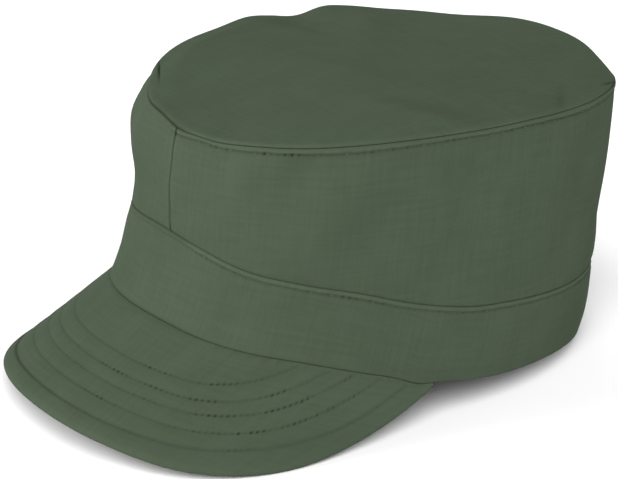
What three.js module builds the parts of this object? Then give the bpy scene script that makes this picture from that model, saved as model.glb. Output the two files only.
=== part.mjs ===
// A patrol cap of cotton and polyester twill: an oval crown top, a side wall in two halves that meet
// at the front and the back, a band over the wall's foot, and a stitched, drooping peak.
// Millimetres. The peak points to -Y, the wearer's left is +X, and the cap stands on z = 0.

import * as THREE from 'three';

// Cloth and seams
const TOP_CLOTH = 1.6;          // the crown top, two plies
const WALL_CLOTH = 1.6;         // the side wall, two plies
const BAND_CLOTH = 1.5;         // the band, folded over an interlining
const PEAK_THICKNESS = 3.4;     // the peak, cloth round a stiff board
const FRONT_SEAM_TURN = -1.2;   // the front seam's head sits a little to the wearer's right
const FRONT_SEAM_LEAN = 2.4;    // the degrees that its foot leans to the wearer's left
const LEAN_HEAD_LEVEL = 1.85;   // the level below which it leans
const LEAN_MOST = 1.1;          // the lean's share goes on a little behind the band
const LEAN_FADE = 9.3;          // the degrees over which the cloth beside the seam leans less
const SEAM_GAP = 0.3;           // what is left open between two sewn pieces
const EDGE_ROLL = 1.4;          // how far in from an edge the cloth rolls over
const TOP_ROLL = 4;             // how far in from its seam the crown top starts to roll down
const TOP_ROLL_DROP = 0.8;      // how far it rolls down
const WALL_LAP = 9;             // how far the wall runs down behind the band
const RIDGE_HEIGHT = 5;         // the strip of turned cloth under the crown seam
const RIDGE_OUT = 0.5;          // how far that strip stands proud of the wall
const RIDGE_STEP = 2;           // how far below the strip's edge the wall is level again
const BAND_SWELL_FRONT = -1.8;  // how far the band stands out half way up: it is hollow in front
const BAND_SWELL_BACK = 2.0;

// The ovals that the seams follow, seen from above
const OVAL_POWER = 2.24;
const OVALS = {
  bandFoot: { halfLength: 104.0, halfWidth: 86.8, centre: 0 },
  bandHead: { halfLength: 100.3, halfWidth: 85.3, centre: 8.7 },
  crownSeam: { halfLength: 101.7, halfWidth: 83.4, centre: 17.3 },
};

// The seams' heights above the floor, from the front (turn 0) round to the back (turn 180)
const SEAM_HEIGHTS = [
  { turn: 0, bandFoot: 39.2, bandHead: 71.0, crownSeam: 112.9 },
  { turn: 30, bandFoot: 36.4, bandHead: 67.1, crownSeam: 115.8 },
  { turn: 60, bandFoot: 27.8, bandHead: 56.8, crownSeam: 120.0 },
  { turn: 75, bandFoot: 21.4, bandHead: 50.6, crownSeam: 120.4 },
  { turn: 90, bandFoot: 13.3, bandHead: 44.6, crownSeam: 119.4 },
  { turn: 105, bandFoot: 10.2, bandHead: 39.4, crownSeam: 117.7 },
  { turn: 120, bandFoot: 7.2, bandHead: 35.4, crownSeam: 116.0 },
  { turn: 150, bandFoot: 1.8, bandHead: 31.4, crownSeam: 114.3 },
  { turn: 166, bandFoot: 0.0, bandHead: 30.7, crownSeam: 114.2 },
  { turn: 180, bandFoot: 0.0, bandHead: 30.5, crownSeam: 114.2 },
];

// Where the seams wander from those smooth lines: how far each one rises, stands out and spreads
const SEAM_WAVES = {
  bandFoot: [
    { turn: 6, rise: 0.7, out: 0, turnSpread: 7 },
    { turn: 50, rise: 1.5, out: 0, turnSpread: 9.5 },
    { turn: 100, rise: -0.5, out: 0, turnSpread: 8 },
    { turn: 134, rise: -0.2, out: 0.4, turnSpread: 12 },
  ],
  bandHead: [
    { turn: -3, rise: 1.7, out: 0, turnSpread: 10 },
    { turn: 28, rise: -1.9, out: 0, turnSpread: 9 },
    { turn: 57, rise: 1.3, out: 0, turnSpread: 7 },
    { turn: 88, rise: -1.05, out: 0, turnSpread: 9 },
    { turn: 130, rise: 1.6, out: 0, turnSpread: 14 },
  ],
  crownSeam: [
    { turn: 90, rise: -0.9, out: 0, turnSpread: 40 },
    { turn: 158, rise: -1.6, out: -1.5, turnSpread: 8 },
    { turn: 147, rise: -1.4, out: -0.5, turnSpread: 5.5 },
    { turn: 140, rise: 0, out: 1.2, turnSpread: 14 },
    { turn: 28, rise: 1.1, out: 0, turnSpread: 14 },
    { turn: -10, rise: 1.2, out: -1.3, turnSpread: 6 },
    { turn: -34, rise: 0, out: -0.9, turnSpread: 9 },
    { turn: -85, rise: 1.8, out: 0, turnSpread: 5 },
    { turn: -88, rise: 0.8, out: 0, turnSpread: 6 },
    { turn: -96, rise: -1.8, out: 0, turnSpread: 4.5 },
    { turn: -109, rise: 2.3, out: 0, turnSpread: 7 },
    { turn: -144, rise: -1.4, out: 0, turnSpread: 9 },
    { turn: -172, rise: 1.8, out: 0, turnSpread: 15 },
  ],
};

// Soft folds of the side wall and the band: where each one is, how far it stands out and spreads.
// Level 0 is the band's foot, 1 its upper edge and 2 the crown seam.
const WALL_COVER_LEVEL = 1.16;  // where the wall has swelled out over the band to the cap's outline
const WALL_FOLD_START = 0.06;   // the levels over which the wall's folds fade in above the band
const WALL_FOLD_END = 0.1;      // and out below the crown seam
const WALL_FOLDS = [
  { turn: -40, level: 1.73, out: 5, turnSpread: 18, levelSpread: 0.2 },
  { turn: -38, level: 1.75, out: 1.2, turnSpread: 18, levelSpread: 0.12 },
  { turn: -38, level: 1.45, out: 2, turnSpread: 18, levelSpread: 0.13 },
  { turn: -38, level: 1.89, out: -0.9, turnSpread: 18, levelSpread: 0.08 },
  { turn: 150, level: 1.1, out: 1.6, turnSpread: 28, levelSpread: 0.15 },
  { turn: 147, level: 1.55, out: 1.2, turnSpread: 25, levelSpread: 0.22 },
  { turn: 42, level: 1.2, out: 0.9, turnSpread: 6, levelSpread: 0.16 },
  { turn: 48, level: 1.45, out: 0.9, turnSpread: 6, levelSpread: 0.16 },
  { turn: 56, level: 1.7, out: 0.9, turnSpread: 6, levelSpread: 0.16 },
];
const BAND_FOLD_START = 0.25;   // the levels over which the band's folds fade in above its foot
const BAND_FOLDS = [
  { turn: -38, level: 0.68, out: 1.3, turnSpread: 22, levelSpread: 0.22 },
  { turn: 150, level: 0.95, out: 0.8, turnSpread: 25, levelSpread: 0.2 },
  { turn: 82, level: 0.4, out: 1, turnSpread: 14, levelSpread: 0.35 },
];

// Soft folds of the crown top: the middle of each, its heading from +X, its height and its spreads
const TOP_FOLDS = [
  { x: 0, y: -14, heading: 0, rise: 4.2, along: 55, across: 32 },
  { x: 50, y: -8, heading: 22, rise: 2.6, along: 26, across: 9 },
  { x: 54, y: 11, heading: 22, rise: -2.8, along: 28, across: 10 },
  { x: -62, y: 24, heading: 5, rise: -1.4, along: 16, across: 6 },
  { x: -55, y: 52, heading: -30, rise: 1.2, along: 18, across: 7 },
  { x: 62, y: 54, heading: 40, rise: -0.9, along: 12, across: 4.5 },
  { x: -48, y: -48, heading: 50, rise: 1, along: 16, across: 7 },
];
const TOP_CENTRE_HEIGHT = 118.5;
const TOP_DISH_POWER = 2;       // how late the crown top rises from its middle to its seam
const TOP_WAVE_POWER = 8;       // how close to the seam its waves stay
const TOP_FOLD_END = 0.12;      // the share of the way in over which the folds fade at the seam

// The peak, from its middle (share 0) to the wearer's side (share 1): its length outwards from the
// band, its slope below level, and its heading away from straight ahead
const PEAK_HALF_TURN = 80;
const PEAK_RULES = [
  { share: 0, length: 57.5, slope: 28.0, heading: 0.0 },
  { share: 0.2, length: 56.9, slope: 29.2, heading: 11.3 },
  { share: 0.4, length: 53.8, slope: 35.2, heading: 26.0 },
  { share: 0.6, length: 43.0, slope: 44.5, heading: 38.2 },
  { share: 0.8, length: 25.5, slope: 55.0, heading: 44.4 },
  { share: 0.9, length: 14.8, slope: 60.2, heading: 47.0 },
  { share: 0.95, length: 9.0, slope: 62.8, heading: 48.4 },
  { share: 1, length: 2.2, slope: 65.5, heading: 49.8 },
];
const PEAK_END_THICKNESS = 2.0;
const PEAK_EDGE_ROUND = 2.4;    // how far in from the peak's edge its rounding starts
const PEAK_ROUND_MOST = 0.6;    // the most of a short rule that the rounding takes
const PEAK_ROUND_END = 0.995;   // the rounding stops just short of a sharp edge

// How finely the pieces are divided: steps round the cap, then the places of the rows of points
const HALF_WALL_STEPS = 40;
const BAND_STEPS = 72;
const TOP_STEPS = 80;
const PEAK_STEPS = 40;
const BAND_LEVELS = [0, 0.25, 0.5, 0.75];
const WALL_LEVELS = [1, 1.04, 1.1, 1.2, 1.35, 1.5, 1.65, 1.8];
const RIDGE_SHARES = [1, 0.6];
const TOP_SHARES = [0.12, 0.25, 0.38, 0.5, 0.62, 0.73, 0.83, 0.91];
const TOP_ROLL_SHARES = [1, 0.6, 0.3];
const PEAK_FLAT_SHARES = [0, 0.3, 0.6, 1];
const PEAK_ROUND_SHARES = [0.5, 0.87, 1];

const CLOTH_COLOUR = 0x535d4c;
const CLOTH_ROUGHNESS = 0.9;

const radians = THREE.MathUtils.degToRad;

// A smooth reading of one column of a table whose rows are in rising order of another column
function readTable(rows, by, column, at) {
  let i = 0;
  while (i < rows.length - 2 && at > rows[i + 1][by]) i += 1;
  const low = rows[i];
  const high = rows[i + 1];
  const span = high[by] - low[by];
  const secant = (a, b) => (b[column] - a[column]) / (b[by] - a[by]);
  const here = secant(low, high);
  const slopeLow = i > 0 ? (here + secant(rows[i - 1], low)) / 2 : 0;
  const slopeHigh = i < rows.length - 2 ? (here + secant(high, rows[i + 2])) / 2 : 0;
  const s = THREE.MathUtils.clamp((at - low[by]) / span, 0, 1);
  const s2 = s * s;
  const s3 = s2 * s;
  return low[column] * (2 * s3 - 3 * s2 + 1) + high[column] * (3 * s2 - 2 * s3)
    + span * (slopeLow * (s3 - 2 * s2 + s) + slopeHigh * (s3 - s2));
}

// The turn brought to between -180 and 180 degrees
function wrapTurn(turn) {
  return ((turn + 540) % 360) - 180;
}

function bump(distance, spread) {
  return Math.exp(-0.5 * (distance / spread) ** 2);
}

// What a seam's waves add to a column, rise or out, at a turn
function seamWave(seam, column, turn) {
  let sum = 0;
  for (const wave of SEAM_WAVES[seam]) {
    sum += wave[column] * bump(wrapTurn(turn - wave.turn), wave.turnSpread);
  }
  return sum;
}

function seamHeight(seam, turn) {
  const smooth = readTable(SEAM_HEIGHTS, 'turn', seam, Math.abs(wrapTurn(turn)));
  return Math.max(0, smooth + seamWave(seam, 'rise', turn));
}

function ovalPoint(seam, turn) {
  const { halfLength, halfWidth, centre } = OVALS[seam];
  const s = Math.sin(radians(turn));
  const c = Math.cos(radians(turn));
  const x = halfWidth * Math.sign(s) * Math.abs(s) ** (2 / OVAL_POWER);
  const y = centre - halfLength * Math.sign(c) * Math.abs(c) ** (2 / OVAL_POWER);
  const point = new THREE.Vector3(x, y, seamHeight(seam, turn));
  return point.addScaledVector(outward(turn), seamWave(seam, 'out', turn));
}

// The level direction straight out of the cap at this turn
function outward(turn) {
  const { halfLength, halfWidth } = OVALS.bandHead;
  const x = Math.sin(radians(turn)) / halfWidth;
  const y = -Math.cos(radians(turn)) / halfLength;
  return new THREE.Vector3(x, y, 0).normalize();
}

function foldSum(folds, turn, level) {
  let out = 0;
  for (const fold of folds) {
    const around = bump(wrapTurn(turn - fold.turn), fold.turnSpread);
    out += fold.out * around * bump(level - fold.level, fold.levelSpread);
  }
  return out;
}

// How far the cloth stands out from the straight way between two seams
function foldOut(turn, level) {
  const wallStart = THREE.MathUtils.smoothstep(level - 1, 0, WALL_FOLD_START);
  const wallEnd = THREE.MathUtils.smoothstep(2 - level, 0, WALL_FOLD_END);
  const bandStart = THREE.MathUtils.smoothstep(level, 0, BAND_FOLD_START);
  return foldSum(WALL_FOLDS, turn, level) * wallStart * wallEnd
    + foldSum(BAND_FOLDS, turn, level) * bandStart;
}

function bandSwell(turn) {
  const backShare = (1 - Math.cos(radians(turn))) / 2;
  return THREE.MathUtils.lerp(BAND_SWELL_FRONT, BAND_SWELL_BACK, backShare);
}

// A point on the outside of the cap. Level 0 is the band's foot, 1 its head, and 2 the crown seam.
function coverPoint(turn, level) {
  const lower = level < 1 ? 'bandFoot' : 'bandHead';
  const upper = level < 1 ? 'bandHead' : 'crownSeam';
  const share = level < 1 ? level : level - 1;
  const point = ovalPoint(lower, turn).lerp(ovalPoint(upper, turn), share);
  const swell = level < 1 ? bandSwell(turn) * Math.sin(Math.PI * share) : 0;
  return point.addScaledVector(outward(turn), swell + foldOut(turn, level));
}

// Triangles between rings of points that all have the same count
function bandFaces(ringCount, ringSize, closeRings) {
  const faces = [];
  const last = closeRings ? ringCount : ringCount - 1;
  for (let i = 0; i < last; i += 1) {
    for (let j = 0; j < ringSize; j += 1) {
      const a = i * ringSize + j;
      const b = i * ringSize + ((j + 1) % ringSize);
      const c = ((i + 1) % ringCount) * ringSize + j;
      const d = ((i + 1) % ringCount) * ringSize + ((j + 1) % ringSize);
      faces.push([a, b, d], [a, d, c]);
    }
  }
  return faces;
}

// Triangles that close the end of a loft whose ring runs up one face and back down the other
function endFaces(start, ringSize, flip) {
  const faces = [];
  const half = ringSize / 2;
  for (let j = 0; j < half - 1; j += 1) {
    const a = start + j;
    const b = start + j + 1;
    const c = start + ringSize - 2 - j;
    const d = start + ringSize - 1 - j;
    faces.push(flip ? [a, b, c] : [a, c, b], flip ? [a, c, d] : [a, d, c]);
  }
  return faces;
}

// A mesh from points and faces, with the faces turned to point outwards
function clothMesh(name, points, faces) {
  let volume = 0;
  for (const [a, b, c] of faces) volume += points[a].dot(points[b].clone().cross(points[c])) / 6;
  const index = faces.flatMap(([a, b, c]) => (volume < 0 ? [a, c, b] : [a, b, c]));
  const geometry = new THREE.BufferGeometry().setFromPoints(points);
  geometry.setIndex(index);
  geometry.computeVertexNormals();
  const material = new THREE.MeshStandardMaterial({
    color: CLOTH_COLOUR, roughness: CLOTH_ROUGHNESS, metalness: 0,
  });
  const mesh = new THREE.Mesh(geometry, material);
  mesh.name = name;
  return mesh;
}

// A loft through rings, either closed on itself or with its two ends closed
function loftMesh(name, rings, closed) {
  const ringSize = rings[0].length;
  const faces = bandFaces(rings.length, ringSize, closed);
  if (!closed) {
    faces.push(...endFaces(0, ringSize, false));
    faces.push(...endFaces((rings.length - 1) * ringSize, ringSize, true));
  }
  return clothMesh(name, rings.flat(), faces);
}

// The band: its ring runs up the outside, rolls over at the head, and comes down the inside
function makeBand() {
  const rings = [];
  for (let i = 0; i < BAND_STEPS; i += 1) {
    const turn = (360 * i) / BAND_STEPS;
    const height = seamHeight('bandHead', turn) - seamHeight('bandFoot', turn);
    const levels = [...BAND_LEVELS, 1 - EDGE_ROLL / height, 1];
    const inwards = outward(turn).negate();
    const outside = levels.map((level) => coverPoint(turn, level));
    const inside = outside.map((point) => point.clone().addScaledVector(inwards, BAND_CLOTH));
    outside[outside.length - 1].addScaledVector(inwards, BAND_CLOTH / 2);
    rings.push([...outside, ...inside.reverse()]);
  }
  return loftMesh('band', rings, true);
}

// How far in from the cap's outline the wall's outer face runs: behind the band, then level with it,
// then proud of it along the turned strip under the crown seam
function wallInset(level, height) {
  const covered = 1 - THREE.MathUtils.smoothstep(level, 1, WALL_COVER_LEVEL);
  const fromSeam = (2 - level) * height;
  const ridge = RIDGE_OUT * THREE.MathUtils.smoothstep(RIDGE_HEIGHT - fromSeam, 0, RIDGE_STEP);
  return (BAND_CLOTH + SEAM_GAP) * covered - ridge;
}

// How many degrees the wall's cloth leans with the front seam
function leanTurn(turn, level) {
  const down = (LEAN_HEAD_LEVEL - level) / (LEAN_HEAD_LEVEL - 1);
  const share = THREE.MathUtils.clamp(down, 0, LEAN_MOST) ** 2;
  return FRONT_SEAM_LEAN * share * Math.exp(-Math.abs(turn - FRONT_SEAM_TURN) / LEAN_FADE);
}

// One half of the side wall, from just past the front seam to just before the back seam
function makeSideHalf(name, side) {
  const rings = [];
  const { halfWidth } = OVALS.crownSeam;
  const gapTurn = THREE.MathUtils.radToDeg(SEAM_GAP / 2 / halfWidth);
  for (let i = 0; i <= HALF_WALL_STEPS; i += 1) {
    const front = FRONT_SEAM_TURN + side * gapTurn;
    const turn = THREE.MathUtils.lerp(front, side * (180 - gapTurn), i / HALF_WALL_STEPS);
    const bandHeight = seamHeight('bandHead', turn) - seamHeight('bandFoot', turn);
    const wallHeight = seamHeight('crownSeam', turn) - seamHeight('bandHead', turn);
    const ridge = RIDGE_SHARES.map((share) => 2 - (RIDGE_HEIGHT * share) / wallHeight);
    const levels = [1 - WALL_LAP / bandHeight, ...WALL_LEVELS, ...ridge, 2 - EDGE_ROLL / wallHeight, 2];
    const inwards = outward(turn).negate();
    const outside = levels.map((level) => {
      const point = coverPoint(turn + leanTurn(turn, level), level);
      return point.addScaledVector(inwards, wallInset(level, wallHeight));
    });
    const inside = outside.map((point) => point.clone().addScaledVector(inwards, WALL_CLOTH));
    outside[outside.length - 1].addScaledVector(inwards, WALL_CLOTH / 3);
    for (const point of [outside.at(-1), inside.at(-1)]) point.z -= SEAM_GAP / 2;
    rings.push([...outside, ...inside.reverse()]);
  }
  return loftMesh(name, rings, false);
}

// The crown top's height above the straight way from its middle to its seam
function topFoldRise(x, y) {
  let rise = 0;
  for (const fold of TOP_FOLDS) {
    const turn = radians(fold.heading);
    const along = (x - fold.x) * Math.cos(turn) + (y - fold.y) * Math.sin(turn);
    const across = (y - fold.y) * Math.cos(turn) - (x - fold.x) * Math.sin(turn);
    rise += fold.rise * bump(along, fold.along) * bump(across, fold.across);
  }
  return rise;
}

// How far down the crown top has rolled at this way in from its seam
function topRollDrop(wayIn) {
  const share = THREE.MathUtils.clamp(1 - wayIn / TOP_ROLL, 0, 1);
  return TOP_ROLL_DROP * share ** 2;
}

// The crown top: a dished oval whose rim rolls down to the seam on the wall's upper edge
function makeCrownTop() {
  const waysIn = TOP_ROLL_SHARES.map((share) => TOP_ROLL * share);
  const middle = new THREE.Vector3(0, OVALS.crownSeam.centre, TOP_CENTRE_HEIGHT + TOP_CLOTH);
  const spot = (turn, share, wayIn) => {
    const rim = ovalPoint('crownSeam', turn);
    rim.z += SEAM_GAP / 2 + TOP_CLOTH;
    const point = middle.clone().lerp(rim, share).addScaledVector(outward(turn), -wayIn);
    const wave = seamWave('crownSeam', 'rise', turn);
    point.z = THREE.MathUtils.lerp(middle.z, rim.z - wave, share ** TOP_DISH_POWER);
    point.z += wave * share ** TOP_WAVE_POWER;
    point.z += topFoldRise(point.x, point.y) * THREE.MathUtils.smoothstep(1 - share, 0, TOP_FOLD_END);
    return point;
  };
  const rings = [];
  for (let i = 0; i < TOP_STEPS; i += 1) {
    const turn = (360 * i) / TOP_STEPS;
    const upper = TOP_SHARES.map((share) => spot(turn, share, 0));
    const lower = upper.map((point) => point.clone().setZ(point.z - TOP_CLOTH));
    const seam = spot(turn, 1, 0);
    const roll = waysIn.map((wayIn) => spot(turn, 1, wayIn));
    roll.forEach((point, k) => point.setZ(point.z - topRollDrop(waysIn[k])));
    const lip = seam.clone().setZ(seam.z - TOP_ROLL_DROP - TOP_CLOTH / 4);
    const under = spot(turn, 1, SEAM_GAP);
    under.z -= TOP_CLOTH;
    const inner = spot(turn, 1, TOP_ROLL);
    inner.z -= TOP_CLOTH;
    rings.push([...upper, ...roll, lip, under, inner, ...lower.reverse()]);
  }
  const ringSize = rings[0].length;
  const points = rings.flat();
  const isFirst = (k) => k % ringSize === 0;
  const isLast = (k) => k % ringSize === ringSize - 1;
  const faces = bandFaces(TOP_STEPS, ringSize, true);
  const skin = faces.filter((face) => !(face.some(isFirst) && face.some(isLast)));
  const upperMiddle = points.push(spot(0, 0, 0)) - 1;
  const lowerMiddle = points.push(spot(0, 0, 0).setZ(middle.z - TOP_CLOTH)) - 1;
  for (let i = 0; i < TOP_STEPS; i += 1) {
    const here = i * ringSize;
    const next = ((i + 1) % TOP_STEPS) * ringSize;
    skin.push([upperMiddle, here, next], [lowerMiddle, next + ringSize - 1, here + ringSize - 1]);
  }
  return clothMesh('crown_top', points, skin);
}

// The peak: straight rules run out and down from under the band, longest in the middle. Its edge
// follows the band's smooth foot, and the foot's waves only move the inner end of each rule.
function makePeak() {
  const rings = [];
  for (let i = 0; i <= PEAK_STEPS; i += 1) {
    const share = (2 * i) / PEAK_STEPS - 1;
    const width = Math.abs(share);
    const turn = share * PEAK_HALF_TURN;
    const plainLength = readTable(PEAK_RULES, 'share', 'length', width);
    const slope = radians(readTable(PEAK_RULES, 'share', 'slope', width));
    const heading = radians(readTable(PEAK_RULES, 'share', 'heading', width)) * Math.sign(share);
    const level = new THREE.Vector3(Math.sin(heading), -Math.cos(heading), 0);
    const rule = level.clone().multiplyScalar(Math.cos(slope)).setZ(-Math.sin(slope));
    rule.multiplyScalar(plainLength);
    rule.z -= seamWave('bandFoot', 'rise', turn);
    const length = rule.length();
    const down = rule.normalize();
    const above = level.clone().multiplyScalar(-down.z).setZ(down.dot(level));
    const thickness = THREE.MathUtils.lerp(PEAK_THICKNESS, PEAK_END_THICKNESS, width ** 3);
    const root = ovalPoint('bandFoot', turn);
    root.z -= SEAM_GAP;
    const round = Math.min(PEAK_EDGE_ROUND, length * PEAK_ROUND_MOST);
    const flat = length - round;
    const flatRuns = PEAK_FLAT_SHARES.map((part) => flat * part);
    const runs = [...flatRuns, ...PEAK_ROUND_SHARES.map((part) => flat + round * part)];
    const upper = runs.map((run) => root.clone().addScaledVector(down, run));
    const lower = upper.map((point) => point.clone().addScaledVector(above, -thickness));
    runs.forEach((run, k) => {
      const past = Math.min(Math.max(0, run - flat) / round, PEAK_ROUND_END);
      const drop = (thickness / 2) * (1 - Math.sqrt(1 - past ** 2));
      upper[k].addScaledVector(above, -drop);
      lower[k].addScaledVector(above, drop);
    });
    const tuck = outward(turn).multiplyScalar(-BAND_CLOTH);
    upper.unshift(root.clone().add(tuck));
    lower[0].copy(root).setZ(root.z - thickness);
    lower.unshift(root.clone().add(tuck).setZ(root.z - thickness));
    for (const point of [...upper, ...lower]) point.z = Math.max(0, point.z);
    rings.push([...upper, ...lower.reverse()]);
  }
  return loftMesh('peak', rings, false);
}

const cap = new THREE.Group();
cap.add(makeCrownTop());
cap.add(makeSideHalf('side_left', 1));
cap.add(makeSideHalf('side_right', -1));
cap.add(makeBand());
cap.add(makePeak());

// The cap's box is centred over the origin
const box = new THREE.Box3().setFromObject(cap);
cap.position.set(0, -(box.min.y + box.max.y) / 2, -box.min.z);

export default cap;
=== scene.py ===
"""A patrol cap of olive drab cotton and polyester twill.

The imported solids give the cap's size and place. Each of them is replaced here by a finer piece of sewn
cloth on the same form: the crown top, the two halves of the side wall, the band and the stitched peak,
with the thread of their seams. Lengths are in millimetres until a mesh is made, and turns are degrees
from the front of the cap (0) towards the wearer's left (90).
"""

import logging
import math
from dataclasses import dataclass, field
from enum import Enum

import bmesh
import bpy
import numpy as np
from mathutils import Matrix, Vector


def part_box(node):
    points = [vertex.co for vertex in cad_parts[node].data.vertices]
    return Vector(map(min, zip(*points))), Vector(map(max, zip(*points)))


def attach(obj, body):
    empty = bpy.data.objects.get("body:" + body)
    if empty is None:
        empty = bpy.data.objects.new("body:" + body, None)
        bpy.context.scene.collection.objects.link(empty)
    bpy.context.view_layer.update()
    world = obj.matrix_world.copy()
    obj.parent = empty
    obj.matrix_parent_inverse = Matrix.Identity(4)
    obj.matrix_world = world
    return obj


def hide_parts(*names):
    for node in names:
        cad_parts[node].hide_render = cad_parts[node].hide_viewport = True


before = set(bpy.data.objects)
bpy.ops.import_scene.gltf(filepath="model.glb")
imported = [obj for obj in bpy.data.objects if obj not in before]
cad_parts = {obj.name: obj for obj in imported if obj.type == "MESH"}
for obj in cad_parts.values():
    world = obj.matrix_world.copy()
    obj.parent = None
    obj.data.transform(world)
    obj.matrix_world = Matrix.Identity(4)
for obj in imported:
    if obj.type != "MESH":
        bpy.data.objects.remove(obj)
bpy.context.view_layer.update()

MM = 0.001
BODY = "root"
GRAIN = "grain"      # the cloth coordinates of a piece, in metres along and across the grain
PAINTED_SHADE = "painted_shade"    # how much painted shade a point has, in seams, creases, grooves and needle holes, from 0 to 1
RIDGE = "ridge"      # how much paler a point is painted along a raised edge, from 0 to 1
HOLES = 4000         # after how many needle holes their chance strengths repeat
BANDS_PER_SCALE = math.tau / 20    # a wave texture of this scale has one band for each metre

Array = np.ndarray
log = logging.getLogger("patrol_cap")


def smoothstep(x: Array, low: float, high: float) -> Array:
    """A soft step from 0 at low to 1 at high."""
    s = np.clip((x - low) / (high - low), 0, 1)
    return s * s * (3 - 2 * s)


def bump(distance: Array, spread: float) -> Array:
    """A bell of height 1 over distance 0."""
    return np.exp(-0.5 * (distance / spread) ** 2)


def pillow(x: Array, low: float, high: float) -> Array:
    """A round swelling of height 1 between low and high."""
    s = np.clip((x - low) / (high - low), 0, 1)
    return np.sin(np.pi * s) ** 2


def rolled(way_in: Array, radius: float) -> Array:
    """How far a round edge has fallen away at this way in from it."""
    s = np.clip(1 - way_in / radius, 0, 1)
    return radius * (1 - np.sqrt(1 - s * s))


def wrap_turn(turn: Array) -> Array:
    """The turn brought to between -180 and 180 degrees."""
    return (turn + 540) % 360 - 180


def read_column(knots: Array, values: Array, at: Array) -> Array:
    """Reads one column of a table smoothly, level at both ends.

    Args:
        knots: the rising column that the table is read by.
        values: the column that is read.
        at: where to read it.

    Returns:
        The value at each place.
    """
    i = np.clip(np.searchsorted(knots, at, side="left") - 1, 0, len(knots) - 2)
    secant = np.diff(values) / np.diff(knots)
    slope = np.concatenate([[0], (secant[:-1] + secant[1:]) / 2, [0]])
    span = knots[i + 1] - knots[i]
    s = np.clip((at - knots[i]) / span, 0, 1)
    rise = values[i] * (2 * s**3 - 3 * s**2 + 1) + values[i + 1] * (3 * s**2 - 2 * s**3)
    return rise + span * (slope[i] * (s**3 - 2 * s**2 + s) + slope[i + 1] * (s**3 - s**2))


def painted_seam_shade(turn: Array) -> Array:
    """How much painted shade the crown seam has: beside the front seam, and where its rim turns to the back.
    """
    return smoothstep(-turn, -6, 4) * smoothstep(turn, -38, -24) + 0.8 * bump(wrap_turn(turn - 134.5), 3.2)


def laid_flat(turn: Array) -> Array:
    """How flat the crown seam lies, where its line all but goes."""
    return 0.75 * bump(wrap_turn(turn - 127), 3.0)


def lengths_along(line: Array) -> Array:
    """The way along a line of points, from 0 at its first point."""
    steps = np.linalg.norm(np.diff(line, axis=0), axis=1)
    return np.concatenate([[0], np.cumsum(steps)])


def whole_pitch(total: float, pitch: float) -> float:
    """The pitch nearest to this one that takes a whole number of stitches to the total."""
    return total / round(total / pitch)


def section(outer: Array, inner: Array, keep: Array) -> Array:
    """Rows up the outside of a piece of cloth, then the kept rows down its inside."""
    return np.concatenate([outer, inner[keep][::-1]])


def quads_from(i: Array, j: Array, rows: int, columns: int) -> Array:
    """The quads of a net of points that closes both ways.

    Args:
        i: the row at which each quad starts.
        j: the column at which it starts.
        rows: how many rows the net has.
        columns: how many columns.

    Returns:
        The point numbers of each quad's four corners.
    """
    up, right = (i + 1) % rows, (j + 1) % columns
    quads = [i * columns + j, i * columns + right, up * columns + right, up * columns + j]
    return np.stack(quads, -1).reshape(-1, 4)


@dataclass(frozen=True)
class Wander:
    """A line that wanders by chance, but the same way at each run."""

    total: float
    longest: float
    shortest: float
    seed: int
    waves: int = 9

    def at(self, along: Array) -> Array:
        """The wandering at each way along, which repeats over total.

        Args:
            along: ways along the line.

        Returns:
            The wandering, about 1 at its largest.
        """
        chance = np.random.default_rng(self.seed)
        most, least = self.total / self.shortest, max(1.0, self.total / self.longest)
        counts = np.unique(np.linspace(least, most, self.waves).round())
        found = np.zeros_like(along, dtype=float)
        for count in counts:
            found += chance.normal() * np.sin(math.tau * (count * along / self.total + chance.random()))
        return found / math.sqrt(len(counts))


@dataclass(frozen=True)
class Unevenness:
    """How cloth wanders from its plain surface: how far, over which lengths, and by which chance."""

    rise: float
    longest: float
    shortest: float
    seed: int

    def over(self, total: float, way: Array, shift: int = 0) -> Array:
        """How far the cloth wanders at each way. The shift of the seed gives it another chance."""
        return self.rise * Wander(total, self.longest, self.shortest, self.seed + shift).at(way)


class Side(Enum):
    """The wearer's sides, by the sign of their turns."""

    LEFT = 1
    RIGHT = -1
    BOTH = 0


@dataclass(frozen=True)
class RowMarks:
    """How a row of stitches runs, and how it marks the cloth."""

    way: float                     # how far from the edge it runs
    pitch: float                   # about how long a stitch is
    groove: float                  # how deep the thread draws the cloth in
    groove_spread: float
    groove_shade: float            # how much painted shade the groove has, from 0 to 1
    hole: float                    # how much deeper the strongest needle holes are
    # the painted shade of the strongest needle holes, from 0 to 1
    hole_shade: float
    seed: int                      # what sets the chance strength of each hole
    sunk: float                    # how far the thread lies down in its groove
    hole_along: float = 0.35       # the spread of a hole along the row, and across it
    hole_across: float = 0.4
    evenness: float = 1.8          # how few of the holes show: 0 shows all, and 2 a few
    faintest: float = 0.06
    gather: Unevenness = Unevenness(0.9, 60, 9, 500)     # the strong holes gather in stretches of the row

    def holes(self, way: Array, beside: Array, pitch: float, side: Side = Side.BOTH) -> Array:
        """How strongly a needle hole shows at each place.

        Args:
            way: ways along the row.
            beside: ways across it.
            pitch: how long a stitch is.
            side: the side of the cap, which has a chance of its own.

        Returns:
            The strength at each place, from 0 to 1.
        """
        number, seed = np.round(way / pitch).astype(int), self.seed + side.value
        gathered = np.clip(0.45 + self.gather.over(HOLES, np.arange(HOLES), seed), 0.05, 1)
        chance = np.random.default_rng(seed).random(HOLES) ** self.evenness
        strengths = self.faintest + (1 - self.faintest) * gathered * chance
        gap = np.abs(way - number * pitch)
        return strengths[number % HOLES] * bump(gap, self.hole_along) * bump(beside, self.hole_across)


class Seam(Enum):
    """The three seams that run round the cap."""

    BAND_FOOT = "band_foot"
    BAND_HEAD = "band_head"
    CROWN = "crown"


class WavePart(Enum):
    """The two ways in which a seam wanders."""

    RISE = "rise"
    OUT = "out"


@dataclass(frozen=True)
class Oval:
    """An oval that a seam follows, seen from above."""

    half_length: float
    half_width: float
    centre: float


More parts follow.
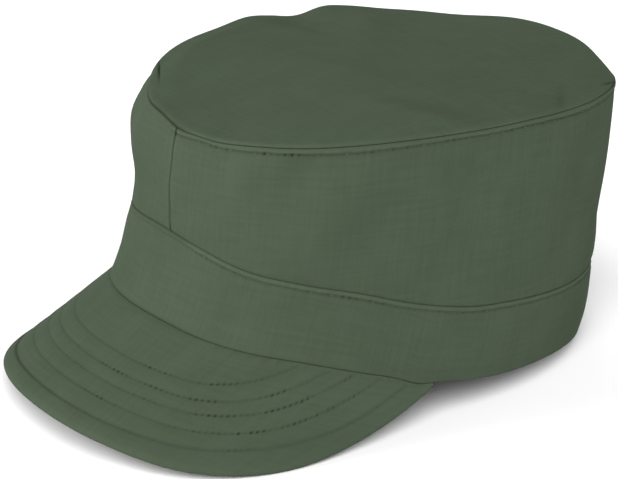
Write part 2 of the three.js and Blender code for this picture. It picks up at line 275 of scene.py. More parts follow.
@dataclass(frozen=True)
class SeamHeights:
    """The heights of the three seams above the floor at a turn."""

    turn: float
    band_foot: float
    band_head: float
    crown: float


@dataclass(frozen=True)
class SeamWave:
    """A place where a seam wanders from its smooth line."""

    turn: float
    rise: float
    out: float
    spread: float


@dataclass(frozen=True)
class WallFold:
    """A soft fold of the side wall. Level 1 is the band's head and 2 the crown seam."""

    turn: float
    level: float
    out: float
    turn_spread: float
    level_spread: float


@dataclass(frozen=True)
class CapForm:
    """The outline that all pieces of the cap are cut to."""

    oval_power: float = 2.24
    ovals: tuple[Oval, ...] = (Oval(104.0, 86.8, 0.0), Oval(100.3, 85.3, 8.7), Oval(101.7, 83.4, 17.3))
    heights: tuple[SeamHeights, ...] = (
        SeamHeights(0, 39.2, 71.0, 112.9),
        SeamHeights(30, 36.4, 67.1, 115.8),
        SeamHeights(60, 27.8, 56.8, 120.0),
        SeamHeights(75, 21.4, 50.6, 120.4),
        SeamHeights(90, 13.3, 44.6, 119.4),
        SeamHeights(105, 10.2, 39.4, 117.7),
        SeamHeights(120, 7.2, 35.4, 116.0),
        SeamHeights(150, 1.8, 31.4, 114.3),
        SeamHeights(166, 0.0, 30.7, 114.2),
        SeamHeights(180, 0.0, 30.5, 114.2),
    )
    foot_waves: tuple[SeamWave, ...] = (
        SeamWave(6, 0.7, 0, 7),
        SeamWave(50, 1.5, 0, 9.5),
        SeamWave(76.5, -2.1, 0, 3.2),
        SeamWave(100, -0.5, 0, 8),
        SeamWave(134, -0.2, 0.4, 12),
    )
    head_waves: tuple[SeamWave, ...] = (
        SeamWave(-3, 1.7, 0, 10),
        SeamWave(28, -1.9, 0, 9),
        SeamWave(57, 1.3, 0, 7),
        SeamWave(88, -1.05, 0, 9),
        SeamWave(130, 1.6, 0, 14),
    )
    crown_waves: tuple[SeamWave, ...] = (
        SeamWave(90, -0.9, 0, 40),
        SeamWave(158, -1.6, -1.5, 8),
        SeamWave(-172, 1.8, 0, 15),
        SeamWave(-109, 2.3, 0, 7),
        SeamWave(-96, -1.8, 0, 4.5),
        SeamWave(-85, 1.8, 0, 5),
        SeamWave(-103, 1.3, 0, 3.5),
        SeamWave(-88, 0.8, 0, 6),
        SeamWave(-144, -1.4, 0, 9),
        SeamWave(140, 0, 1.2, 14),
        SeamWave(-34, 0, -0.9, 9),
        SeamWave(-10, 1.2, -1.3, 6),
        SeamWave(28, 1.1, 0, 14),
        SeamWave(147, -1.4, -0.5, 5.5),
        SeamWave(6.5, 0.7, 0, 4),
    )
    folds: tuple[WallFold, ...] = (
        WallFold(-40, 1.73, 5.0, 18, 0.2),
        WallFold(-42, 1.18, 0.1, 20, 0.1),
        WallFold(-38, 1.75, 1.2, 18, 0.12),
        WallFold(-38, 1.45, 2.0, 18, 0.13),
        WallFold(-38, 1.89, -0.9, 18, 0.08),
        WallFold(148, 1.1, 0.8, 25, 0.1),
        WallFold(147, 1.55, 1.2, 25, 0.22),
        WallFold(42, 1.2, 0.9, 6, 0.16),
        WallFold(48, 1.45, 0.9, 6, 0.16),
        WallFold(56, 1.7, 0.9, 6, 0.16),
        WallFold(40, 1.85, -0.5, 4, 0.15),
        WallFold(31, 1.85, 0.4, 4, 0.15),
    )
    band_folds: tuple[WallFold, ...] = (
        WallFold(-38, 0.68, 1.3, 22, 0.22),
        WallFold(150, 0.95, 0.8, 25, 0.2),
        WallFold(82, 0.4, 1.0, 14, 0.35),
    )
    fold_start: float = 0.06        # the levels over which folds die out at the seams
    fold_end: float = 0.1
    band_fold_start: float = 0.25
    band_swell_front: float = -1.8  # how far the band stands out half way up: it is hollow in front
    band_swell_back: float = 2.0
    front_seam_turn: float = -1.2
    seam_gap: float = 0.1           # the sewn pieces all but touch
    fine_steps: int = 3000          # how finely a seam is measured

    def oval(self, seam: Seam) -> Oval:
        """The oval that this seam follows."""
        return self.ovals[list(Seam).index(seam)]

    def wave(self, seam: Seam, part: WavePart, turn: Array) -> Array:
        """What a seam's waves add.

        Args:
            seam: the seam.
            part: whether its rise or its way out is asked for.
            turn: degrees from the front.

        Returns:
            How much the waves add at each turn.
        """
        waves = {
            Seam.BAND_FOOT: self.foot_waves,
            Seam.BAND_HEAD: self.head_waves,
            Seam.CROWN: self.crown_waves,
        }[seam]
        parts = [getattr(w, part.value) * bump(wrap_turn(turn - w.turn), w.spread) for w in waves]
        return np.sum(parts, axis=0)

    def height(self, seam: Seam, turn: Array) -> Array:
        """A seam's height above the floor.

        Args:
            seam: the seam.
            turn: degrees from the front.

        Returns:
            The height at each turn.
        """
        knots = np.array([row.turn for row in self.heights], float)
        column = np.array([getattr(row, seam.value) for row in self.heights], float)
        smooth = read_column(knots, column, np.abs(wrap_turn(turn)))
        return np.maximum(0, smooth + self.wave(seam, WavePart.RISE, turn))

    def outward(self, turn: Array) -> Array:
        """The level direction straight out of the cap.

        Args:
            turn: degrees from the front.

        Returns:
            The direction at each turn, with one more axis than turn.
        """
        oval = self.oval(Seam.BAND_HEAD)
        x = np.sin(np.radians(turn)) / oval.half_width
        y = -np.cos(np.radians(turn)) / oval.half_length
        size = np.hypot(x, y)
        return np.stack([x / size, y / size, np.zeros_like(x)], axis=-1)

    def ring(self, seam: Seam, turn: Array) -> Array:
        """A seam's points.

        Args:
            seam: the seam.
            turn: degrees from the front.

        Returns:
            The point at each turn, with one more axis than turn.
        """
        oval, power = self.oval(seam), 2 / self.oval_power
        s, c = np.sin(np.radians(turn)), np.cos(np.radians(turn))
        x = oval.half_width * np.sign(s) * np.abs(s) ** power
        y = oval.centre - oval.half_length * np.sign(c) * np.abs(c) ** power
        points = np.stack([x, y, self.height(seam, turn)], axis=-1)
        return points + self.outward(turn) * self.wave(seam, WavePart.OUT, turn)[..., None]

    @staticmethod
    def folded(folds: tuple[WallFold, ...], turn: Array, level: Array) -> Array:
        """How far folds stand out.

        Args:
            folds: the folds.
            turn: degrees from the front.
            level: 0 at the band's foot, 1 at its head and 2 at the crown seam.

        Returns:
            How far all of them together stand out at each place.
        """
        parts = [
            f.out * bump(wrap_turn(turn - f.turn), f.turn_spread) * bump(level - f.level, f.level_spread)
            for f in folds
        ]
        return np.sum(parts, axis=0)

    def fold_out(self, turn: Array, level: Array) -> Array:
        """How far the cloth stands out from the straight way between two seams.

        Args:
            turn: degrees from the front.
            level: 0 at the band's foot, 1 at its head and 2 at the crown seam.

        Returns:
            How far it stands out at each place.
        """
        ends = smoothstep(level - 1, 0, self.fold_start) * smoothstep(2 - level, 0, self.fold_end)
        wall = self.folded(self.folds, turn, level) * ends
        return wall + self.folded(self.band_folds, turn, level) * smoothstep(level, 0, self.band_fold_start)

    def cover(self, turn: Array, level: Array) -> Array:
        """A point on the outside of the cap.

        Args:
            turn: degrees from the front.
            level: 0 at the band's foot, 1 at its head and 2 at the crown seam.

        Returns:
            The points, with one more axis than turn.
        """
        foot, head, crown = (self.ring(seam, turn) for seam in Seam)
        low, high = np.clip(level, 0, 1)[..., None], np.clip(level - 1, 0, 1)[..., None]
        points = foot + (head - foot) * low + (crown - head) * high
        back_share = (1 - np.cos(np.radians(turn))) / 2
        swell = self.band_swell_front + (self.band_swell_back - self.band_swell_front) * back_share
        swell = np.where(level < 1, swell * np.sin(np.pi * np.clip(level, 0, 1)), 0)
        return points + self.outward(turn) * (swell + self.fold_out(turn, level))[..., None]

    def rise_between(self, low: Seam, high: Seam, turn: Array) -> Array:
        """How much higher one seam is than another at each turn."""
        return self.height(high, turn) - self.height(low, turn)

    def evenly_round(self, seam: Seam, first: float, last: float, pitch: float, parts: int) -> Array:
        """Turns evenly spaced along a seam, a whole number of stitches from first to last.

        Args:
            seam: the seam to follow.
            first: the first turn.
            last: the last turn.
            pitch: about how long a stitch is.
            parts: how many steps each stitch takes.

        Returns:
            The turns, both ends included.
        """
        fine = np.linspace(first, last, self.fine_steps)
        way = lengths_along(self.ring(seam, fine))
        stitches = round(way[-1] / pitch)
        return np.interp(np.linspace(0, way[-1], stitches * parts + 1), way, fine)


def srgb(code: str) -> tuple[float, float, float, float]:
    """An sRGB hex code as a linear colour."""
    parts = [int(code[i : i + 2], 16) / 255 for i in (0, 2, 4)]
    return (*[c / 12.92 if c <= 0.04045 else ((c + 0.055) / 1.055) ** 2.4 for c in parts], 1.0)


def add_node(
    tree: bpy.types.NodeTree, kind: str, inputs: dict | None = None, **settings: object
) -> bpy.types.Node:
    """Adds a node with its settings, values and links.

    Args:
        tree: the node tree.
        kind: the node's type.
        inputs: for each input, by name or number, a value or the output that it is linked to.
        settings: the node's own settings.

    Returns:
        The new node.
    """
    node = tree.nodes.new(kind)
    for key, value in settings.items():
        setattr(node, key, value)
    for key, value in (inputs or {}).items():
        if isinstance(value, bpy.types.NodeSocket):
            tree.links.new(value, node.inputs[key])
        else:
            node.inputs[key].default_value = value
    return node


def new_material(name: str) -> tuple[bpy.types.Material, bpy.types.NodeTree]:
    """Makes an empty node material.

    Args:
        name: its name.

    Returns:
        The material and its node tree.
    """
    material = bpy.data.materials.new(name)
    material.use_nodes = True
    material.node_tree.nodes.clear()
    return material, material.node_tree


@dataclass(frozen=True)
class TwillFinish:
    """Cotton and polyester twill, woven with diagonal wales and dyed in the piece.

    It gives the eye a flat, matt green with faint diagonal lines and uneven threads both ways. Painted
    shade darkens it in the seams, creases and needle holes, and it is painted a little paler along raised
    edges.
    """

    name: str = "cotton_polyester_twill"
    base: str = "404a3c"
    dark_thread: str = "3c4638"
    pale_edge: str = "485343"
    # the colour of the painted shade in seams, creases and needle holes
    shadow: str = "131811"
    wale_mm: float = 1.0           # real wales are 0.6 mm apart, too fine to show at this size
    wale_angle: float = 58.0       # a steep twill, in degrees from across the cloth
    wale_depth_mm: float = 0.06
    slub_mm: float = 1.6           # width of an uneven warp thread
    slub_length: float = 14.0      # its length, in widths
    mottle_mm: float = 26.0
    uneven: tuple[float, float] = (1.2, 1.8)   # the sums of noise from the dark threads to the plain ones
    wale_strength: float = 0.3
    slub_strength: float = 0.2
    roughness: float = 0.95
    ior: float = 1.5
    gloss: float = 0.02            # the gaps between threads swallow most of the gloss

    def make(self) -> bpy.types.Material:
        """Makes the material.

        Returns:
            The material.
        """
        material, tree = new_material(self.name)
        grain = add_node(tree, "ShaderNodeUVMap", uv_map=GRAIN).outputs["UV"]
        painted_shade, ridge = (
            add_node(tree, "ShaderNodeAttribute", attribute_name=mark).outputs["Fac"]
            for mark in (PAINTED_SHADE, RIDGE)
        )
        turned = add_node(
            tree, "ShaderNodeMapping", {"Vector": grain, "Rotation": (0, 0, math.radians(self.wale_angle))}
        ).outputs["Vector"]
        wales = add_node(
            tree,
            "ShaderNodeTexWave",
            {
                "Vector": turned,
                "Scale": BANDS_PER_SCALE / (self.wale_mm * MM),
                "Distortion": 0.6,
                "Detail": 1.0,
                "Detail Scale": 1.5,
            },
            wave_type="BANDS",
            bands_direction="Y",
        ).outputs["Fac"]
        fine, long = 1 / (self.slub_mm * MM), 1 / (self.slub_mm * self.slub_length * MM)
        noises = []
        for scale in ((fine, long, 1), (long, fine, 1), (1 / (self.mottle_mm * MM),) * 3):
            scaled = add_node(tree, "ShaderNodeMapping", {"Vector": grain, "Scale": scale}).outputs["Vector"]
            noise = add_node(tree, "ShaderNodeTexNoise", {"Vector": scaled, "Scale": 1.0, "Detail": 2.0})
            noises.append(noise.outputs["Fac"])
        warp, weft, mottle = noises
        slubs = add_node(tree, "ShaderNodeMath", {0: warp, 1: weft}, operation="ADD").outputs[0]
        spots = add_node(tree, "ShaderNodeMath", {0: slubs, 1: mottle}, operation="ADD").outputs[0]
        low, high = self.uneven
        threads = add_node(
            tree, "ShaderNodeMapRange", {"Value": spots, "From Min": low, "From Max": high}
        ).outputs["Result"]
        # From the dark threads to the plain cloth, then paler along raised edges, then into the painted
        # shade of seams, creases and needle holes.
        colour = srgb(self.dark_thread)
        for share, next_colour in ((threads, self.base), (ridge, self.pale_edge), (painted_shade, self.shadow)):
            colour = add_node(
                tree, "ShaderNodeMix", {0: share, 6: colour, 7: srgb(next_colour)}, data_type="RGBA"
            ).outputs[2]
        depth = self.wale_depth_mm * MM
        woven = add_node(
            tree, "ShaderNodeBump", {"Height": wales, "Strength": self.wale_strength, "Distance": depth}
        ).outputs["Normal"]
        normal = add_node(
            tree,
            "ShaderNodeBump",
            {"Height": slubs, "Strength": self.slub_strength, "Distance": depth, "Normal": woven},
        ).outputs["Normal"]
        shader = add_node(
            tree,
            "ShaderNodeBsdfPrincipled",
            {
                "Base Color": colour,
                "Roughness": self.roughness,
                "IOR": self.ior,
                "Specular IOR Level": self.gloss,
                "Normal": normal,
            },
        )
        add_node(tree, "ShaderNodeOutputMaterial", {"Surface": shader.outputs["BSDF"]})
        return material


@dataclass(frozen=True)
class ThreadFinish:
    """Spun polyester sewing thread, dyed to match and a little darker than the cloth.

    It gives the eye a fine, slightly shiny cord with the twist of its plies.
    """

    name: str = "spun_polyester_thread"
    base: str = "3c4638"
    dark: str = "343d30"
    twist_mm: float = 0.5
    twist_depth_mm: float = 0.1
    twist_strength: float = 0.5
    roughness: float = 0.7
    ior: float = 1.5

    def make(self) -> bpy.types.Material:
        """Makes the material.

        Returns:
            The material.
        """
        material, tree = new_material(self.name)
        grain = add_node(tree, "ShaderNodeUVMap", uv_map=GRAIN).outputs["UV"]
        twist = add_node(
            tree,
            "ShaderNodeTexWave",
            {"Vector": grain, "Scale": BANDS_PER_SCALE / (self.twist_mm * MM), "Distortion": 0.0},
            wave_type="BANDS",
            bands_direction="DIAGONAL",
        ).outputs["Fac"]
        colour = add_node(
            tree, "ShaderNodeMix", {0: twist, 6: srgb(self.dark), 7: srgb(self.base)}, data_type="RGBA"
        ).outputs[2]
        normal = add_node(
            tree,
            "ShaderNodeBump",
            {"Height": twist, "Strength": self.twist_strength, "Distance": self.twist_depth_mm * MM},
        ).outputs["Normal"]
        shader = add_node(
            tree,
            "ShaderNodeBsdfPrincipled",
            {"Base Color": colour, "Roughness": self.roughness, "IOR": self.ior, "Normal": normal},
        )
        add_node(tree, "ShaderNodeOutputMaterial", {"Surface": shader.outputs["BSDF"]})
        return material


@dataclass(frozen=True)
class FloorFinish:
    """Matt white studio board, sprayed: a pale, even ground with no gloss."""

    name: str = "matt_white_board"
    base: str = "f6f6f6"

    def make(self) -> bpy.types.Material:
        """Makes the material.

        Returns:
            The material.
        """
        material, tree = new_material(self.name)
        shader = add_node(
            tree,
            "ShaderNodeBsdfPrincipled",
            {"Base Color": srgb(self.base), "Roughness": 1.0, "Specular IOR Level": 0.0},
        )
        add_node(tree, "ShaderNodeOutputMaterial", {"Surface": shader.outputs["BSDF"]})
        return material


@dataclass
class Placer:
    """Turns millimetres about the band's middle into metres in the frame, and makes the objects."""

    form: CapForm

    def shift(self) -> Array:
        """Where the band foot's middle lies in the frame, in metres."""
        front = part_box("band")[0][1]
        return np.array([0, front + self.form.oval(Seam.BAND_FOOT).half_length * MM, 0])

    def mesh(
        self, name: str, points: Array, faces: list, corners: Array, marks: dict[str, Array]
    ) -> bpy.types.Object:
        """Makes one piece.

        Args:
            name: the piece's name.
            points: its points, in millimetres.
            faces: the point numbers of each face.
            corners: the cloth coordinates of each face corner, in millimetres.
            marks: for each mark, its value at each point.

        Returns:
            The new object, shaded smooth.
        """
        made = bpy.data.meshes.new(name)
        made.from_pydata((points * MM + self.shift()).tolist(), [], faces)
        layer = made.uv_layers.new(name=GRAIN)
        layer.data.foreach_set("uv", (corners * MM).ravel())
        for mark, values in marks.items():
            made.attributes.new(mark, "FLOAT", "POINT").data.foreach_set("value", values)
        made.polygons.foreach_set("use_smooth", np.ones(len(faces), bool))
        made.update()
        piece = bpy.data.objects.new(name, made)
        bpy.context.scene.collection.objects.link(piece)
        return piece

    def loft(
        self, name: str, rings: Array, grain: Array, marks: dict[str, Array], closed: bool
    ) -> bpy.types.Object:
        """Makes a piece from rings of points, each round the section of the cloth.

        Args:
            name: the piece's name.
            rings: points by place round the section, column and axis.
            grain: cloth coordinates by place, column and axis, with one more column if closed.
            marks: for each mark, its value by place and column.
            closed: True if the last column joins the first.

        Returns:
            The new object.
        """
        size, columns = rings.shape[:2]
        ahead = columns if closed else columns - 1
        i, j = np.meshgrid(np.arange(size), np.arange(ahead), indexing="ij")
        quads, up = quads_from(i, j, size, columns), (i + 1) % size
        corners = [grain[i, j], grain[i, j + 1], grain[up, j + 1], grain[up, j]]
        corners = np.stack(corners, -2).reshape(-1, 4, 2)
        points = rings.reshape(-1, 3)
        a, b, c, d = (points[quads[:, k]] for k in range(4))
        volume = (a * (np.cross(b, c) + np.cross(c, d))).sum()
        if volume < 0:
            quads, corners = quads[:, ::-1], corners[:, ::-1]
        faces, corners = quads.tolist(), corners.reshape(-1, 2)
        if not closed:
            first = (np.arange(size) * columns)[:: -1 if volume < 0 else 1]
            last = (np.arange(size) * columns + columns - 1)[:: 1 if volume < 0 else -1]
            faces += [first.tolist(), last.tolist()]
            ends = [grain[first // columns, 0], grain[last // columns, columns - 1]]
            corners = np.concatenate([corners, *ends])
        flat = {mark: values.ravel() for mark, values in marks.items()}
        return self.mesh(name, points, faces, corners, flat)


def dress(piece: bpy.types.Object, material: bpy.types.Material, *nodes: str) -> bpy.types.Object:
    """Gives a piece its material and its body, and hides the solids that it stands for.

    Args:
        piece: the piece.
        material: its material.
        nodes: the solids that it replaces, if any.

    Returns:
        The piece.
    """
    piece.data.materials.append(material)
    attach(piece, BODY)
    if nodes:
        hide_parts(*nodes)
    return piece


@dataclass
class StitchRow:
    """A row of lockstitch that lies on a line of points on the cloth."""

    line: Array
    normals: Array
    holes: Array                  # ways along the line where the needle went through
    radius: float = 0.2
    sides: int = 6
    rings: int = 7
    dip: float = 0.45             # how far the thread's ends go down into the cloth
    end_gap: float = 0.04         # how far a stitch ends from its hole, as a share of its length
    end_girth: float = 0.55       # how thick it is at its ends, as a share of its middle
    aside: float = 0.2            # how far to each side the line's heading is read

    def read(self, values: Array, at: Array) -> Array:
        """The values along the line, read at these ways."""
        way = lengths_along(self.line)
        return np.stack([np.interp(at, way, values[:, k]) for k in range(3)], -1)

    def build(self) -> tuple[Array, list, Array]:
        """Makes the row's thread.

        Returns:
            The points, the faces and the cloth coordinates of the face corners.
        """
        share = np.linspace(0, 1, self.rings)
        starts, spans = self.holes[:-1, None], np.diff(self.holes)[:, None]
        count = len(starts)
        at = (starts + spans * (self.end_gap + (1 - 2 * self.end_gap) * share)).ravel()
        middle, up = self.read(self.line, at), self.read(self.normals, at)
        ahead = self.read(self.line, at + self.aside) - middle
        behind = middle - self.read(self.line, at - self.aside)
        across = np.cross(ahead + behind, up)
        across /= np.linalg.norm(across, axis=1, keepdims=True) + 1e-12
        arch = np.tile(np.sin(np.pi * share) ** 0.5, count)
        middle = middle + up * (self.dip * (arch - 1))[:, None]
        girth = self.radius * (self.end_girth + (1 - self.end_girth) * arch)
        turn = math.tau * np.arange(self.sides) / self.sides
        round_it = across[:, None] * np.cos(turn)[None, :, None] + up[:, None] * np.sin(turn)[None, :, None]
        points = middle[:, None] + round_it * girth[:, None, None]
        number = np.arange(count * self.rings * self.sides).reshape(count, self.rings, self.sides)
        low, high = number[:, :-1], number[:, 1:]
        quads = np.stack([low, np.roll(low, -1, 2), np.roll(high, -1, 2), high], -1).reshape(-1, 4)
        faces = quads.tolist() + number[:, 0, ::-1].tolist() + number[:, -1].tolist()
        coords = np.stack([np.repeat(at, self.sides), np.tile(turn * self.radius, len(at))], -1)
        order = np.concatenate([np.array(face) for face in faces])
        return points.reshape(-1, 3), faces, coords[order]


def sew(placer: Placer, name: str, rows: list[StitchRow], material: bpy.types.Material) -> bpy.types.Object:
    """Makes one piece of the thread of several rows of stitches.

    Args:
        placer: what makes the object.
        name: the piece's name.
        rows: the rows of stitches.
        material: the thread.

    Returns:
        The new piece.
    """
    points, faces, coords, count = [], [], [], 0
    for row in rows:
        row_points, row_faces, row_coords = row.build()
        faces += [[k + count for k in face] for face in row_faces]
        points.append(row_points)
        coords.append(row_coords)
        count += len(row_points)
    return dress(placer.mesh(name, np.concatenate(points), faces, np.concatenate(coords), {}), material)


@dataclass
class SideWall:
    """The side wall, two halves of doubled cloth that meet in a plain seam at the front and the back."""

    form: CapForm
    placer: Placer
    cloth: float = 1.6
    flat_height: float = 105.0     # of a half laid flat, with its lap and its turned edge
    behind_band: float = 1.8       # how far in the wall runs behind the band
    head_dip: float = 0.4          # how far in the wall lies where it goes behind the band's head
    dip_above: float = 0.8         # the way above the head in which it comes out
    dip_below: float = 1.6         # the way below the head in which it goes fully behind
    lap: float = 9.0
    middle_rows: int = 22          # rows of points between those near the two seams
    ridge_height: float = 4.2      # the strip of turned cloth under the crown seam
    ridge_out: float = 0.25
    ridge_step: float = 1.6
    ridge_pale: float = 0.4
    crease: float = 0.15           # how deep the crown seam's line is
    # the painted shade along the crown seam's line
    crease_shade: float = 0.35
    plump: float = 0.12            # how far the cloth swells between the crown seam and its stitches
    row: RowMarks = RowMarks(
        way=2.5, pitch=2.8, groove=0.28, groove_spread=0.42, groove_shade=0.26, hole=0.3, hole_shade=0.6,
        seed=11, sunk=0.2,
    )
    row_drift: tuple[tuple[float, float, float], ...] = (   # turn, share further below, spread
        (8, -0.3, 6), (30, -0.12, 10), (48, 0.14, 14), (76, -0.16, 6), (97, -0.12, 5), (115, 0.14, 9),
    )
    pulled: tuple[float, float] = (34, 8)      # the turn, and its spread, where the stitches pull in
    parts: int = 4                 # columns of points to each stitch
    pucker: Unevenness = Unevenness(0.1, 16, 5, 21)
    pucker_spread: float = 5.5
    drift: Unevenness = Unevenness(0.35, 120, 24, 31)
    drift_lean: float = 0.35       # how the drift slants, as a way along for each way down
    seam_wobble: Unevenness = Unevenness(0.35, 40, 12, 5)
    seam_lean: float = 4.8         # how far the front seam's foot leans to the wearer's left
    lean_head: float = 1.85        # the level below which it leans
    lean_reach: float = 14.0       # how far from the seam the cloth goes with it
    front_spread: float = 1.36     # a turn takes this much more of the seam in front than on a circle
    seam_roll: float = 0.45        # how the cloth rolls into the front and back seams
    seam_pad: float = 7.0          # how wide the opened seam's turned cloth lies behind each side
    pad_out: float = 0.2
    # the painted shade along the front and back seams
    seam_shade: float = 0.28
    seam_end_shade: float = 0.45       # how much more painted shade the seam's two ends have
    seam_pale: float = 0.15
    thread_rows: list[StitchRow] = field(default_factory=list)

    def below_rows(self) -> Array:
        """Ways below the crown seam of the rows of points near it."""
        near = [0, 0.12, 0.3, 0.55, 0.85, 1.2, 1.6, 1.85, 2.08, 2.3, 2.5, 2.7, 2.92, 3.15, 3.45, 3.9]
        return np.array([*near, 4.5, 5.4, 6.5, 7.8, 9.4, 11.0])

    def row_share(self, turn: Array) -> Array:
        """How far below the crown seam the stitches run at each turn, as a share of their plain way."""
        return 1 + np.sum([d[1] * bump(wrap_turn(turn - d[0]), d[2]) for d in self.row_drift], axis=0)

    @staticmethod
    def showing(turn: Array) -> Array:
        """How much the crown seam's stitches and turned cloth show: round the front they lie flat."""
        return 1 - smoothstep(-turn, 1, 5) * smoothstep(turn, -85, -65)

    def above_rows(self) -> Array:
        """Ways above the band's head of the rows of points near it."""
        near = [-4.5, -1.6, -1.1, -0.6, -0.2, 0.0, 0.15, 0.35, 0.6, 0.9, 1.4, 2.2, 3.4, 5.0, 7.5]
        return np.array([-self.lap, *near])

    def behind(self, above: Array) -> Array:
        """How far in the wall lies at each way above the band's head, to go behind the band."""
        at_head = self.head_dip * (1 - smoothstep(above, 0, self.dip_above))
        return at_head + (self.behind_band - self.head_dip) * smoothstep(-above, 0, self.dip_below)

    def levels(self, turn: Array) -> Array:
        """Where the rows of points lie.

        Args:
            turn: degrees from the front.

        Returns:
            The level of each row, from the wall's foot up, at each turn.
        """
        band = self.form.rise_between(Seam.BAND_FOOT, Seam.BAND_HEAD, turn)
        wall = self.form.rise_between(Seam.BAND_HEAD, Seam.CROWN, turn)
        above, below = self.above_rows()[:, None], self.below_rows()[::-1][:, None] * self.row_share(turn)
        low = 1 + np.where(above < 0, above / band, above / wall)
        high = 2 - below / wall
        share = np.linspace(0, 1, self.middle_rows + 2)[1:-1, None]
        return np.concatenate([low, low[-1] + (high[0] - low[-1]) * share, high])

    def details(
        self, turn: Array, level: Array, way: Array, total: float, side: Side
    ) -> tuple[Array, Array, Array]:
        """The seams, stitches and small puckers of the outside, and their painted shade.

        Args:
            turn: the turn of each point.
            level: the level of each point.
            way: the way of each point from the front seam along the wall.
            total: the wall's whole length.
            side: which half.

        Returns:
            How far each point stands out, how much painted shade it has, and how much paler it is painted
            along a ridge.
        """
        wall = self.form.rise_between(Seam.BAND_HEAD, Seam.CROWN, turn)
        below, above = (2 - level) * wall, (level - 1) * wall
        row, row_way, shown = self.row, self.row.way * self.row_share(turn), self.showing(turn)
        to_seam = np.minimum(way, total - way)
        groove = shown * bump(below - row_way, row.groove_spread)
        hole = row.holes(way, below - row_way, whole_pitch(total, row.pitch), side) * shown
        hole = hole * (0.8 + 0.9 * bump(turn - self.pulled[0], self.pulled[1]))
        out = self.ridge_out * shown * smoothstep(self.ridge_height - below, 0, self.ridge_step)
        out -= self.behind(above) + self.crease * bump(below, 0.25)
        out += self.plump * shown * pillow(below, 0.1, row_way)
        out -= row.groove * groove + row.hole * hole
        pucker = self.pucker.over(total, way, side.value)
        drift = self.drift.over(total, way + self.drift_lean * below, side.value)
        out += pucker * bump(below - row_way, self.pucker_spread) * smoothstep(below, 0, 2)
        out += drift * smoothstep(above, 0, 12) * smoothstep(below, 2, 12)
        out -= rolled(to_seam, self.seam_roll)
        out += self.pad_out * smoothstep(self.seam_pad - to_seam, 0, 2.5) * smoothstep(above, 0, 5)
        # Painted shade along the crown seam's line, in the stitch groove and needle holes, and along the
        # front and back seams, most at their two ends.
        painted_shade = self.crease_shade * painted_seam_shade(turn) * bump(below, 0.3)
        painted_shade += row.groove_shade * groove + row.hole_shade * hole
        knots = bump(below - 1.5, 1.2) + bump(above - 1.0, 1.0)
        dark = self.seam_shade + self.seam_end_shade * knots
        painted_shade += dark * bump(to_seam, 0.42) * smoothstep(above, -1, 0.5)
        # The ridge under the crown seam and the cloth beside the front and back seams are painted paler.
        ridge = self.ridge_pale * shown * pillow(below, 0.2, 2.3) + self.seam_pale * bump(to_seam - 1.2, 0.5)
        return out, np.clip(painted_shade, 0, 1), np.clip(ridge, 0, 1)

    def half(self, name: str, side: Side, material: bpy.types.Material) -> bpy.types.Object:
        """Makes one half of the wall.

        Args:
            name: the node that it replaces.
            side: which half.
            material: the cloth.

        Returns:
            The new piece.
        """
        crown, row = self.form.oval(Seam.CROWN), self.row
        gap = math.degrees(self.form.seam_gap / 2 / crown.half_width)
        front, back = self.form.front_seam_turn + side.value * gap, side.value * (180 - gap)
        stitched = self.form.evenly_round(Seam.CROWN, front, back, row.pitch, self.parts)
        fine = np.linspace(front, back, self.form.fine_steps)
        fine_way = lengths_along(self.form.ring(Seam.CROWN, fine))
        total = fine_way[-1]
        # Columns of points stand close together beside the front and back seams.
        edge = np.array([0.12, 0.3, 0.5, 0.9, 1.2, 1.7])
        ways = np.interp(np.abs(stitched - front), np.abs(fine - front), fine_way)
        ways = np.unique(np.concatenate([ways, edge, total - edge]).round(6))
        turn = np.interp(ways, fine_way, fine)
        level = self.levels(turn)
        turn, way = np.broadcast_to(turn, level.shape), np.broadcast_to(ways, level.shape)
        lean = self.seam_lean * np.clip((self.lean_head - level) / (self.lean_head - 1), 0, 1.1) ** 2
        lean = lean + self.seam_wobble.over(60, (level - 1) * 45)
        lean = np.degrees(lean / (self.front_spread * crown.half_width))
        turn = turn + lean * np.exp(-way / self.lean_reach)
        base, outward = self.form.cover(turn, level), self.form.outward(turn)
        out, painted_shade, ridge = self.details(turn, level, way, total, side)
        wall = self.form.rise_between(Seam.BAND_HEAD, Seam.CROWN, turn)
        inner = -self.behind((level - 1) * wall) - self.cloth
        outside, inside = (base + outward * x[..., None] for x in (out, inner))
        for top in (outside[-1], inside[-1]):
            top[:, 2] -= self.form.seam_gap / 2
        keep = np.unique(np.r_[0 : len(level) : 2, len(level) - 1])
        grain = np.stack([way, (level - 2) * wall], -1)
        rings, grain = section(outside, inside, keep), section(grain, grain, keep)
        none = np.zeros_like(painted_shade)
        marks = {PAINTED_SHADE: section(painted_shade, none, keep), RIDGE: section(ridge, none, keep)}
        piece = dress(self.placer.loft(f"{name}_cloth", rings, grain, marks, closed=False), material, name)
        at = len(level) - 1 - int(np.argmin(np.abs(self.below_rows() - row.way)))
        sunk = self.ridge_out * self.showing(turn[at]) - row.groove - row.sunk
        middle = base[at] + outward[at] * sunk[:, None]
        pitch = whole_pitch(total, row.pitch)
        holes = np.interp(np.arange(0.0, total + 0.5 * pitch, pitch), ways, lengths_along(middle))
        self.thread_rows.append(StitchRow(middle, outward[at], holes[1:-1]))
        return piece


